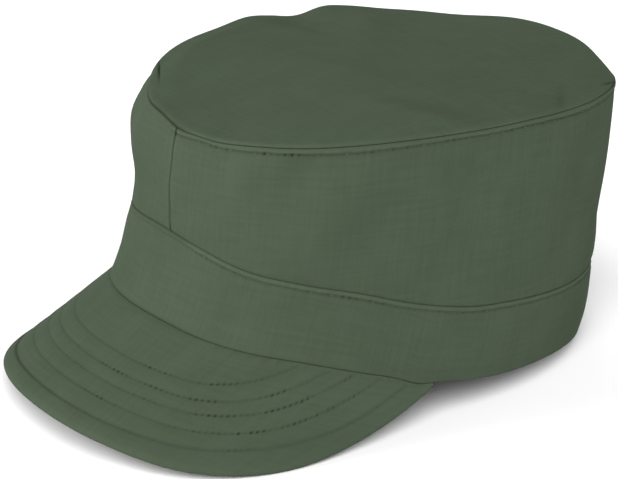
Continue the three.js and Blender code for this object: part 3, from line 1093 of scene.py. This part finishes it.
@dataclass
class Band:
    """The band, a folded strip sewn over the wall's foot by one row of stitches near its head."""

    form: CapForm
    placer: Placer
    cloth: float = 1.5
    flat_height: float = 35.0      # laid flat, with its folded edge
    row: RowMarks = RowMarks(
        way=2.2, pitch=2.8, groove=0.2, groove_spread=0.4, groove_shade=0.2, hole=0.25, hole_shade=0.55,
        seed=17, sunk=0.22,
    )
    parts: int = 4                 # columns of points to each stitch
    middle_rows: int = 12          # rows of points between those near the two edges
    head_round: float = 0.3
    foot_round: float = 0.4
    head_thickness: float = 0.5    # the folded edge is pressed thin where it is sewn down
    taper: float = 1.6
    plump: float = 0.08            # how far the cloth swells between the head and its stitches
    pucker: Unevenness = Unevenness(0.12, 18, 5, 41)
    pucker_spread: float = 4.0
    drift: Unevenness = Unevenness(0.25, 110, 22, 43)
    drift_lean: float = -0.4       # how the drift slants, as a way along for each way down
    flat_front: tuple[float, float, float, float] = (-50, -36, 3, 15)   # where the head's fold is painted as lying flat, and where that ends
    flat_share: float = 0.75       # how much less painted shade the row of stitches has there
    # the painted shade along the head where the fold lies flat
    flat_shade: float = 0.3
    peak_turn: float = 78.0        # the turn at which the peak ends
    # the painted shade along the foot
    foot_shade: float = 0.12
    peak_shade: float = 0.4        # how much more painted shade the foot has over the peak, where the two meet
    head_pale: float = 0.45

    def below_rows(self) -> Array:
        """Ways below the band's head of the rows of points near it."""
        return np.array([0, 0.08, 0.22, 0.45, 0.75, 1.1, 1.5, 1.8, 2.02, 2.2, 2.38, 2.6, 2.9, 3.4, 4.2, 5.8])

    def above_rows(self) -> Array:
        """Ways above the band's foot of the rows of points near it."""
        return np.array([0, 0.08, 0.22, 0.45, 0.75, 1.2, 2.0, 3.2])

    def build(self, material: bpy.types.Material, thread: bpy.types.Material) -> bpy.types.Object:
        """Makes the band and its row of stitches.

        Args:
            material: the cloth.
            thread: the thread.

        Returns:
            The band.
        """
        row = self.row
        turn = self.form.evenly_round(Seam.BAND_HEAD, -180, 180, row.pitch, self.parts)
        ways = lengths_along(self.form.ring(Seam.BAND_HEAD, turn))
        total = ways[-1]
        height = self.form.rise_between(Seam.BAND_FOOT, Seam.BAND_HEAD, turn)
        low = self.above_rows()[:, None] / height
        high = 1 - self.below_rows()[::-1][:, None] / height
        share = np.linspace(0, 1, self.middle_rows + 2)[1:-1, None]
        level = np.concatenate([low, low[-1] + (high[0] - low[-1]) * share, high])
        turns, way = np.broadcast_to(turn, level.shape), np.broadcast_to(ways, level.shape)
        below, above = (1 - level) * height, level * height
        out, painted_shade, ridge = self.details(turns, way, below, above)
        inner = rolled(above, self.foot_round) - self.head_thickness
        inner -= (self.cloth - self.head_thickness) * smoothstep(below, 0, self.taper)
        base, outward = self.form.cover(turns, level), self.form.outward(turns)
        outside, inside = (base + outward * x[..., None] for x in (out, inner))
        keep = np.r_[1:6, 6 : len(level) - 6 : 2, len(level) - 6 : len(level) - 1]
        grain = np.stack([way, above], -1)
        rings, grain = section(outside, inside, keep)[:, :-1], section(grain, grain, keep)
        none = np.zeros_like(painted_shade)
        marks = {PAINTED_SHADE: section(painted_shade, none, keep)[:, :-1], RIDGE: section(ridge, none, keep)[:, :-1]}
        piece = dress(self.placer.loft("band_cloth", rings, grain, marks, closed=True), material, "band")
        at = len(level) - 1 - int(np.argmin(np.abs(self.below_rows() - row.way)))
        middle = base[at] - outward[at] * (row.groove + row.sunk)
        pitch = whole_pitch(total, row.pitch)
        holes = np.interp(np.arange(0.0, total + 0.5 * pitch, pitch), ways, lengths_along(middle))
        stitches = sew(self.placer, "band_stitches", [StitchRow(middle, outward[at], holes)], thread)
        return piece

    def details(self, turns: Array, way: Array, below: Array, above: Array) -> tuple[Array, Array, Array]:
        """The edges, stitches and small puckers of the outside, and their painted shade.

        Args:
            turns: the turn of each point.
            way: the way of each point round the band.
            below: the way below the band's head.
            above: the way above the band's foot.

        Returns:
            How far each point stands out, how much painted shade it has, and how much paler it is painted
            along a ridge.
        """
        row, total, to_row = self.row, way[0, -1], below - self.row.way
        groove = bump(to_row, row.groove_spread)
        hole = row.holes(way, to_row, whole_pitch(total, row.pitch))
        out = -rolled(below, self.head_round) - rolled(above, self.foot_round)
        out += self.plump * pillow(below, 0.2, row.way + 0.1) - row.groove * groove - row.hole * hole
        out += self.pucker.over(total, way) * bump(to_row, self.pucker_spread) * smoothstep(below, 0, 1.5)
        drift = self.drift.over(total, way + self.drift_lean * below)
        out += drift * smoothstep(below, 2, 9) * smoothstep(above, 0, 8)
        at_peak = smoothstep(self.peak_turn - np.abs(turns), 0, 4)
        # The painted shade where the band's foot meets the peak is darkest round the peak's middle.
        shade_at_middle = 1 - 0.75 * smoothstep(np.abs(turns), 10, 26)
        first, full, end, gone = self.flat_front
        flat = smoothstep(turns, first, full) * (1 - smoothstep(turns, end, gone))
        # Painted shade in the stitch groove and needle holes, along the head where the fold lies flat, and
        # along the foot, most over the peak.
        painted_shade = (row.groove_shade * groove + row.hole_shade * hole) * (1 - self.flat_share * flat)
        painted_shade += self.flat_shade * flat * bump(below, 0.4)
        painted_shade += (self.foot_shade + self.peak_shade * at_peak * shade_at_middle) * bump(above, 0.45)
        return out, np.clip(painted_shade, 0, 1), self.head_pale * (1 - flat) * pillow(below, 0.0, 2.0)


@dataclass(frozen=True)
class TopFold:
    """A soft fold or crease of the crown top: its middle, its heading from +X, its height and spreads."""

    x: float
    y: float
    heading: float
    rise: float
    along: float
    across: float

    def at(self, x: Array, y: Array) -> Array:
        """How far the fold lifts the cloth.

        Args:
            x: places towards the wearer's left.
            y: places towards the back.

        Returns:
            The lift at each place.
        """
        turn = math.radians(self.heading)
        along = (x - self.x) * math.cos(turn) + (y - self.y) * math.sin(turn)
        across = (y - self.y) * math.cos(turn) - (x - self.x) * math.sin(turn)
        return self.rise * bump(along, self.along) * bump(across, self.across)


@dataclass
class CrownTop:
    """The crown top, a dished oval whose rim rolls down into the crown seam."""

    form: CapForm
    placer: Placer
    cloth: float = 1.6
    middle_height: float = 118.5
    area_share: float = 1.03       # how much more cloth the dished top takes than a flat oval
    lip: float = 0.3               # how far in the rim's foot lies
    roll: float = 3.0
    roll_drop: float = 0.3
    rim_round: float = 1.0         # how the rim turns down into the crown seam
    dish_power: float = 2.0
    wave_power: float = 8.0
    fold_end: float = 0.12
    columns: int = 640
    middle_rings: int = 44         # rings of points between those near the rim and the middle
    under_step: int = 4            # the underside has one ring for this many above
    dense: tuple[float, float, float] = (-53.7, -32.1, 0.16)   # from turn to turn, and the step, at a crease
    dense_gap: float = 0.3
    pucker: Unevenness = Unevenness(0.07, 30, 7, 51)
    drifts: tuple[Unevenness, ...] = (Unevenness(0.3, 130, 45, 61), Unevenness(0.25, 150, 50, 67))
    # the painted shade along the crown seam, in the creases and on the rim's hidden edge
    seam_shade: float = 0.6
    plain_seam_shade: float = 0.04      # how much painted shade the seam has where it is neither picked out nor laid flat
    crease_shade: float = 0.5
    lip_shade: float = 0.15
    rim_pale: float = 0.2
    folds: tuple[TopFold, ...] = (
        TopFold(0, -14, 0, 4.2, 55, 32),
        TopFold(61.5, -10.5, 19, 2.1, 27, 8),
        TopFold(57.5, 0.9, 19, -2.5, 28, 13),
        TopFold(-62, 24, 5, -1.4, 16, 6),
        TopFold(-55, 52, -30, 1.2, 18, 7),
        TopFold(62, 54, 40, -0.9, 12, 4.5),
        TopFold(-48, -48, 50, 1.0, 16, 7),
    )
    creases: tuple[TopFold, ...] = (
        TopFold(-54.4, -59.2, -32.5, -1.6, 7.0, 0.3),
        TopFold(64, 87.2, 108, -1.2, 2.6, 0.5),
        TopFold(71.5, 53.7, -42, -0.34, 10, 1.4),
    )

    def ways_in(self) -> Array:
        """Ways in from the rim of the rings of points near it."""
        near = [0.0, 0.03, 0.12, 0.3, 0.55, 0.85, 1.2, 1.7, 2.2]
        return np.concatenate([near, np.arange(2.7, 9.0, 0.5), [9.5, 10.5, 11.7, 13.0, 14.5]])

    def build(self, material: bpy.types.Material, stitches: bpy.types.Object) -> bpy.types.Object:
        """Makes the crown top.

        Args:
            material: the cloth.
            stitches: the crown seam's thread; not used.

        Returns:
            The crown top.
        """
        turn, oval = self.turns(), self.form.oval(Seam.CROWN)
        middle = np.array([0, oval.centre, self.middle_height + self.cloth])
        rim = self.form.ring(Seam.CROWN, turn)
        rim[:, 2] += self.form.seam_gap / 2 + self.cloth
        points, way_in = self.upper(turn, rim, middle)
        outward = self.form.outward(turn)
        lip = points[0] - outward * self.lip
        lip[:, 2] = rim[:, 2] - self.cloth
        under = points[:: self.under_step].copy()
        under[..., 2] -= self.cloth
        under[0] = lip - outward * self.roll
        skin = np.concatenate([points[::-1], lip[None], under[:1], under[2:]])
        # Painted shade along the crown seam's line, in the creases and on the rim's hidden edge.
        seam_shade_share = self.plain_seam_shade * (1 - laid_flat(turn)) + (1 - self.plain_seam_shade) * painted_seam_shade(turn)
        creased = sum(np.abs(crease.at(points[..., 0], points[..., 1])) for crease in self.creases)
        painted_shade, ridge = np.zeros(skin.shape[:2]), np.zeros(skin.shape[:2])
        rows = len(points)
        painted_shade[:rows] = (self.seam_shade * seam_shade_share * bump(way_in, 0.28) + self.crease_shade * creased)[::-1]
        painted_shade[rows] = self.lip_shade
        ridge[:rows] = (self.rim_pale * bump(way_in - 1.3, 0.8))[::-1]
        piece = self.disc(skin, {PAINTED_SHADE: np.clip(painted_shade, 0, 1), RIDGE: ridge}, middle)
        dress(piece, material, "crown_top")
        return piece

    def turns(self) -> Array:
        """Where the columns of points stand, closer together at a crease.

        Returns:
            Their turns.
        """
        turn = np.linspace(-180, 180, self.columns + 1)[:-1]
        outside = (turn < self.dense[0] - self.dense_gap) | (turn > self.dense[1] + self.dense_gap)
        return np.sort(np.concatenate([turn[outside], np.arange(*self.dense)]))

    def upper(self, turn: Array, rim: Array, middle: Array) -> tuple[Array, Array]:
        """The upper face.

        Args:
            turn: the turn of each column of points.
            rim: the rim's point at each turn.
            middle: the middle of the face.

        Returns:
            The rings of points from the rim in, and each point's way in from the rim.
        """
        reach = np.linalg.norm((rim - middle)[:, :2], axis=1)
        near = 1 - self.ways_in()[:, None] / reach
        share = np.concatenate([near, near[-1] * np.linspace(1, 0, self.middle_rings + 2)[1:-1, None]])
        wave = self.form.wave(Seam.CROWN, WavePart.RISE, turn)
        points = middle + (rim - middle) * share[..., None]
        x, y, way_in = points[..., 0], points[..., 1], (1 - share) * reach
        soft, sharp = (
            np.sum([fold.at(x, y) for fold in kind], axis=0) for kind in (self.folds, self.creases)
        )
        rim_way = lengths_along(np.concatenate([rim, rim[:1]]))
        total, way = rim_way[-1], np.broadcast_to(rim_way[:-1], share.shape)
        first, second = self.drifts
        drift = first.over(260, 0.8 * x + 0.5 * y) + second.over(300, 0.9 * y - 0.35 * x)
        height = middle[2] + (rim[:, 2] - wave - middle[2]) * share**self.dish_power
        height += wave * share**self.wave_power
        height += soft * smoothstep(1 - share, 0, self.fold_end) + 0.6 * sharp * smoothstep(way_in, 0, 2)
        height += self.pucker.over(total, way) * bump(way_in - 4, 5) * smoothstep(way_in, 0, 3)
        height += drift * smoothstep(way_in, 2, 18)
        height -= self.roll_drop * np.clip(1 - way_in / self.roll, 0, 1) ** 2
        height -= rolled(way_in, self.rim_round) * (1 - laid_flat(turn))
        points[..., 2] = height
        return points, way_in

    def disc(self, skin: Array, marks: dict[str, Array], middle: Array) -> bpy.types.Object:
        """Closes rings of points into a disc of cloth, with a point in the middle of each face.

        Args:
            skin: rings of points, from the middle out over the rim and back in.
            marks: for each mark, its value at each point.
            middle: the middle of the upper face.

        Returns:
            The new object.
        """
        rings, columns = skin.shape[:2]
        i, j = np.meshgrid(np.arange(rings - 1), np.arange(columns), indexing="ij")
        top, low = (np.array([*middle[:2], np.mean(skin[k, :, 2])]) for k in (0, -1))
        points = np.concatenate([skin.reshape(-1, 3), [top, low]])
        count, last = rings * columns, (rings - 1) * columns
        here = np.arange(columns)
        ahead = (here + 1) % columns
        faces = quads_from(i, j, rings, columns)[:, ::-1].tolist()
        faces += np.stack([here, ahead, np.full(columns, count)], -1).tolist()
        faces += np.stack([ahead + last, here + last, np.full(columns, count + 1)], -1).tolist()
        order = np.concatenate([np.array(face) for face in faces])
        values = {mark: np.append(value.ravel(), [0, 0]) for mark, value in marks.items()}
        return self.placer.mesh("crown_top_cloth", points, faces, points[order, :2], values)


@dataclass(frozen=True)
class PeakRule:
    """A straight rule of the peak, from the band outwards: share is 0 in its middle and 1 at its end."""

    share: float
    length: float
    slope: float
    heading: float


def peak_row(
    way: float, seed: int, holes: float, groove: tuple[float, float, float] = (0.13, 0.4, 0.13)
) -> RowMarks:
    """One row of the peak's stitches.

    Args:
        way: how far in from the edge it runs.
        seed: what sets the chance strength of each needle hole.
        holes: how strongly its needle holes show.
        groove: its groove's depth, spread and painted shade.

    Returns:
        The row.
    """
    return RowMarks(way, 2.5, *groove, 0.3 * holes, holes, seed, 0.24, 0.36, 0.36, 0.9)


@dataclass
class Peak:
    """The peak, cloth round a stiff board, held by five rows of stitches that follow its edge."""

    form: CapForm
    placer: Placer
    half_turn: float = 80.0
    thickness: float = 3.4
    end_thickness: float = 2.0
    tuck: float = 1.5
    edge_round: float = 2.4
    round_most: float = 0.6
    rows: tuple[RowMarks, ...] = (
        peak_row(8.8, 406, 0.4, (0.48, 0.5, 0.4)),
        peak_row(16.5, 248, 1.0),
        peak_row(23.8, 2732, 0.9),
        peak_row(29.9, 2131, 1.0),
        peak_row(37.3, 366, 0.8),
    )
    outer_drift: tuple[tuple[float, float], ...] = (   # share, how much further in the outermost row lies
        (-1, -0.6), (-0.3, -1.4), (-0.1, -0.7), (0.2, -0.4), (0.35, 0.4), (0.5, 1.0), (0.62, 0.4),
        (0.75, -0.8), (1, -0.6),
    )
    drift_spread: float = 2.5
    swell_edge: float = 0.35       # how far the cloth swells outside the outermost row
    swell: float = 0.16            # and between two rows
    edge_pale: float = 0.15
    step: float = 0.55
    rules: tuple[PeakRule, ...] = (
        PeakRule(0, 57.5, 28.0, 0.0),
        PeakRule(0.2, 56.9, 29.2, 11.3),
        PeakRule(0.4, 53.8, 35.2, 26.0),
        PeakRule(0.6, 43.0, 44.5, 38.2),
        PeakRule(0.8, 25.5, 55.0, 44.4),
        PeakRule(0.9, 14.8, 60.2, 47.0),
        PeakRule(0.95, 9.0, 62.8, 48.4),
        PeakRule(0.98, 5.2, 64.6, 49.3),
        PeakRule(1, 2.2, 65.5, 49.8),
    )

    def column(self, name: str, share: Array) -> Array:
        """One column of the rules.

        Args:
            name: the column.
            share: where to read it, from -1 at the right end to 1 at the left.

        Returns:
            The value at each share.
        """
        knots = np.array([rule.share for rule in self.rules], float)
        values = np.array([getattr(rule, name) for rule in self.rules], float)
        return read_column(knots, values, np.abs(share))

    def rule_lines(self, share: Array) -> tuple[Array, Array, Array, Array]:
        """The straight rules of the peak.

        Args:
            share: which rules, from -1 at the right end to 1 at the left.

        Returns:
            The root, the direction out, the direction up and the length of each rule.
        """
        slope, heading = np.radians(self.column("slope", share)), np.radians(self.column("heading", share))
        heading = heading * np.sign(share)
        level = np.stack([np.sin(heading), -np.cos(heading), np.zeros_like(heading)], -1)
        up = np.array([0, 0, 1.0])
        out = level * np.cos(slope)[..., None] - up * np.sin(slope)[..., None]
        above = level * np.sin(slope)[..., None] + up * np.cos(slope)[..., None]
        turn = share * self.half_turn
        root = self.form.ring(Seam.BAND_FOOT, turn)
        root[..., 2] -= self.form.seam_gap
        way = out * self.column("length", share)[..., None]
        way[..., 2] -= self.form.wave(Seam.BAND_FOOT, WavePart.RISE, turn)
        length = np.linalg.norm(way, axis=-1)
        out = way / length[..., None]
        above = above - out * (above * out).sum(-1, keepdims=True)
        return root, out, above / np.linalg.norm(above, axis=-1, keepdims=True), length

    def way_rows(self) -> Array:
        """Where the rows of points lie.

        Returns:
            Their ways in from the edge, the edge itself first. The last lies past the band.
        """
        rows = [row.way for row in self.rows]
        edge = [0.0, 0.06, 0.2, 0.42, 0.75, 1.15, 1.7, 2.4, 3.4, 4.8, 6.2, 7.2]
        near = (-1.1, -0.75, -0.45, -0.2, 0.0, 0.2, 0.45, 0.75, 1.1)
        beside = [way + offset for way in rows for offset in near]
        between = [way + offset for way in rows[:-1] for offset in (2.4, 3.65, 4.9)]
        root = list(np.arange(rows[-1] + 2.6, 60, 3.0))
        return np.array(sorted([*edge, *beside, *between, *root]) + [99.0])

    def drift(self, share: Array) -> Array:
        """How much further in the outermost row of stitches lies at each share."""
        knots, values = np.array(self.outer_drift, float).T
        return read_column(knots, values, share)

    def runs(self, share: Array, ways: Array) -> tuple[Array, Array]:
        """Where each way in from the edge falls on each rule.

        Args:
            share: the shares of the rules.
            ways: ways in from the edge, by row of points and rule.

        Returns:
            The run from the root by way and rule, and each rule's way from root to edge.
        """
        coarse, parts = np.linspace(-1, 1, 321), np.linspace(0, 1, 60)
        root, out, _, length = self.rule_lines(coarse)
        edge = root + out * length[:, None]
        found = np.stack([
            self.way_to(root[k] + out[k] * (length[k] * parts)[:, None], edge) for k in range(len(coarse))
        ])
        blend = np.stack([np.interp(share, coarse, found[:, k]) for k in range(len(parts))], 1)
        own = self.rule_lines(share)[3]
        runs = np.stack([np.interp(-ways[:, k], -blend[k], own[k] * parts) for k in range(len(share))], 1)
        return runs, blend[:, 0]

    @staticmethod
    def way_to(points: Array, line: Array) -> Array:
        """The shortest way to a line.

        Args:
            points: points, one to a row.
            line: the line's points.

        Returns:
            Each point's way.
        """
        start, span = line[:-1], np.diff(line, axis=0)
        offset = points[:, None] - start
        s = np.clip((offset * span).sum(-1) / (span * span).sum(-1), 0, 1)
        return np.linalg.norm(offset - span * s[..., None], axis=-1).min(1)

    def build(self, material: bpy.types.Material, thread: bpy.types.Material) -> bpy.types.Object:
        """Makes the peak and its rows of stitches.

        Args:
            material: the cloth.
            thread: the thread.

        Returns:
            The peak.
        """
        fine = np.linspace(-1, 1, self.form.fine_steps + 1)
        root, out, _, length = self.rule_lines(fine)
        edge_way = lengths_along(root + out * length[:, None])
        share = np.interp(np.linspace(0, edge_way[-1], round(edge_way[-1] / self.step)), edge_way, fine)
        root, out, above, length = self.rule_lines(share)
        plain, drift = self.way_rows()[:, None], self.drift(share)
        ways = plain + drift * bump(plain - self.rows[0].way, self.drift_spread)
        runs, depth = self.runs(share, ways)
        surface = root + out * runs[..., None]
        way = np.minimum(ways, depth)
        thick = self.thickness + (self.end_thickness - self.thickness) * np.abs(share) ** 3
        edge_round = np.minimum(self.edge_round, depth * self.round_most)
        past = np.clip(1 - way / edge_round, 0, 1)
        drop = thick / 2 * (1 - np.sqrt(1 - past**2))
        free = smoothstep(runs, 0, 1.5)
        lift, painted_shade, rows = self.details(surface, way, free, depth, above, thick, drift)
        upper = surface + above * (lift - drop)[..., None]
        lower = surface - above * (thick - drop + 0.6 * lift)[..., None]
        tuck = -self.form.outward(share * self.half_turn) * self.tuck
        root_up, root_low = root + tuck, root + tuck
        root_low[:, 2] -= thick
        lower[-1] = root
        lower[-1, :, 2] -= thick
        rings = np.concatenate([root_up[None], upper[::-1], lower[1:], root_low[None]])
        rings[..., 2] = np.maximum(0, rings[..., 2])
        none, pale_edge = np.zeros((1, len(share))), self.edge_pale * bump(way - 1.0, 1.0)
        marks = {
            mark: np.concatenate([none, values[::-1], values[1:], none])
            for mark, values in ((PAINTED_SHADE, np.clip(painted_shade, 0, 1)), (RIDGE, pale_edge))
        }
        grain = np.stack([surface[..., 0], -runs], -1)
        grain = np.concatenate([grain[-1:], grain[::-1], grain[1:], grain[-1:]])
        piece = self.placer.loft("peak_cloth", rings, grain, marks, closed=False)
        self.merge(piece)
        dress(piece, material, "peak")
        sew(self.placer, "peak_stitches", rows, thread)
        return piece

    @staticmethod
    def merge(piece: bpy.types.Object) -> None:
        """Merges the points that fall together where rows of points run out at the band.

        Args:
            piece: the peak.
        """
        made = bmesh.new()
        made.from_mesh(piece.data)
        bmesh.ops.remove_doubles(made, verts=made.verts, dist=0.01 * MM)
        made.to_mesh(piece.data)
        made.free()

    def details(
        self, surface: Array, way: Array, free: Array, depth: Array, above: Array, thick: Array, drift: Array
    ) -> tuple[Array, Array, list[StitchRow]]:
        """The grooves, needle holes and soft swelling of the peak's cloth, and their painted shade.

        Args:
            surface: the plain upper surface, by row and column.
            way: the way in from the edge of each point.
            free: 0 at the band and 1 away from it.
            depth: the way from root to edge of each column.
            above: the direction up at each column.
            thick: the peak's thickness at each column.
            drift: how much further in the outermost row lies at each column.

        Returns:
            How far each point is lifted, how much painted shade it has, and the rows of stitches.
        """
        lift = self.swell_edge * pillow(way, 0.0, self.rows[0].way)
        for first, second in zip(self.rows[:-1], self.rows[1:]):
            lift = lift + self.swell * pillow(way, first.way, second.way)
        painted_shade, rows, ways, turn = np.zeros_like(way), [], self.way_rows(), self.turns(surface)
        # The needle pulled the cloth in round the middle of the peak, and left it flat at the ends.
        pulled = 0.12 + 0.88 * smoothstep(turn, -14, 8) * (1 - smoothstep(turn, 54, 66))
        for row in self.rows:
            outermost = row is self.rows[0]
            line = surface[int(np.argmin(np.abs(ways - row.way)))]
            along = lengths_along(line)
            along = along - np.interp(0, np.linspace(-1, 1, len(along)), along)
            beside = way - row.way - (drift if outermost else 0)
            # The outermost groove is deepest, and has the most painted shade, towards the wearer's right.
            right = 0.35 + 0.65 * smoothstep(-turn, -8, 24) if outermost else 1.0
            groove = bump(beside, row.groove_spread)
            hole = pulled * row.holes(along + row.pitch * 300, beside, row.pitch)
            lift = lift - row.groove * (0.45 + 0.55 * right) * groove - row.hole * hole
            # Painted shade in the groove and needle holes.
            painted_shade = painted_shade + row.groove_shade * right * groove + row.hole_shade * hole
            first, last = np.flatnonzero(depth > row.way + 0.3)[[0, -1]]
            span = slice(first, last + 1)
            start, end = math.ceil(along[first] / row.pitch), math.floor(along[last] / row.pitch)
            holes = np.arange(start, end) * row.pitch - along[first]
            below = -(thick[span] - 0.6 * row.groove)
            for side, offset in ((1, np.full_like(below, -row.groove - row.sunk)), (-1, below)):
                lifted = line[span] + above[span] * offset[:, None]
                rows.append(StitchRow(lifted, above[span] * side, holes))
        return lift * free, painted_shade * free, rows

    @staticmethod
    def turns(points: Array) -> Array:
        """The turn of each point about the band's middle."""
        return np.degrees(np.arctan2(points[..., 0], -points[..., 1]))


@dataclass(frozen=True)
class Lamp:
    """A broad, distant lamp: where it stands, in degrees from the front and up, and how strong it is."""

    name: str
    azimuth: float
    elevation: float
    strength: float
    spread: float = 50.0


@dataclass
class Studio:
    """A pale floor, soft light from five sides, and the camera."""

    placer: Placer
    target: tuple[float, float, float] = (-5.6, -16.8, 47.5)   # about the band's middle
    azimuth: float = 53.907
    elevation: float = 22.866
    distance: float = 950.8
    lens: float = 129.6
    sensor: float = 36.0
    floor_size: float = 16.0      # in metres
    sky: float = 0.16
    lamps: tuple[Lamp, ...] = (
        Lamp("key", -40, 12, 3.55),
        Lamp("top", 57, 50, 2.9),
        Lamp("front", 35, 12, 1.3),
        Lamp("right", -110, 12, 1.4),
        Lamp("back", 150, 12, 1.5),
    )

    def floor(self) -> None:
        """Makes the floor."""
        made = bpy.data.meshes.new("floor")
        half = self.floor_size / 2
        corners = [(x * half, y * half, 0) for x, y in ((-1, -1), (1, -1), (1, 1), (-1, 1))]
        made.from_pydata(corners, [], [(0, 1, 2, 3)])
        floor = bpy.data.objects.new("floor", made)
        made.materials.append(FloorFinish().make())
        bpy.context.scene.collection.objects.link(floor)

    def hang(self, lamp: Lamp) -> None:
        """Adds one lamp.

        Args:
            lamp: the lamp.
        """
        data = bpy.data.lights.new(lamp.name, "SUN")
        data.energy = lamp.strength
        data.angle = math.radians(lamp.spread)
        hung = bpy.data.objects.new(lamp.name, data)
        hung.rotation_mode = "QUATERNION"
        hung.rotation_quaternion = (-self.towards(lamp.azimuth, lamp.elevation)).to_track_quat("-Z", "Y")
        bpy.context.scene.collection.objects.link(hung)

    @staticmethod
    def towards(azimuth: float, elevation: float) -> Vector:
        """The direction from the cap towards this azimuth and elevation."""
        a, e = math.radians(azimuth), math.radians(elevation)
        return Vector((math.sin(a) * math.cos(e), -math.cos(a) * math.cos(e), math.sin(e)))

    def light(self) -> None:
        """Sets the sky and the lamps."""
        scene = bpy.context.scene
        scene.view_settings.view_transform = "Standard"
        world = bpy.data.worlds.new("studio")
        world.use_nodes = True
        sky = world.node_tree.nodes["Background"].inputs
        sky["Color"].default_value, sky["Strength"].default_value = (1, 1, 1, 1), self.sky
        scene.world = world
        for lamp in self.lamps:
            self.hang(lamp)

    def camera(self) -> None:
        """Makes the camera, at the angle of the photograph."""
        data = bpy.data.cameras.new("camera")
        data.lens = self.lens
        data.sensor_width = self.sensor
        data.sensor_fit = "HORIZONTAL"
        camera = bpy.data.objects.new("camera", data)
        back = self.towards(self.azimuth, self.elevation)
        camera.location = Vector(self.target) * MM + Vector(self.placer.shift()) + back * self.distance * MM
        camera.rotation_mode = "QUATERNION"
        camera.rotation_quaternion = (-back).to_track_quat("-Z", "Y")
        bpy.context.scene.collection.objects.link(camera)
        bpy.context.scene.camera = camera

    def build(self) -> None:
        """Makes the whole studio."""
        self.floor()
        self.light()
        self.camera()


def report(piece: bpy.types.Object) -> None:
    """Logs a piece's name and how many faces it has."""
    log.info("%s: %d faces", piece.name, len(piece.data.polygons))


def main() -> None:
    """Builds the cap piece by piece, then the studio."""
    logging.basicConfig(level=logging.INFO, format="%(name)s %(message)s")
    form = CapForm()
    placer = Placer(form)
    twill, thread = TwillFinish().make(), ThreadFinish().make()
    wall = SideWall(form, placer)
    for name, side in (("side_left", Side.LEFT), ("side_right", Side.RIGHT)):
        report(wall.half(name, side, twill))
    stitches = sew(placer, "crown_stitches", wall.thread_rows, thread)
    report(stitches)
    report(CrownTop(form, placer).build(twill, stitches))
    report(Band(form, placer).build(twill, thread))
    report(Peak(form, placer).build(twill, thread))
    Studio(placer).build()


if __name__ == "__main__":
    main()
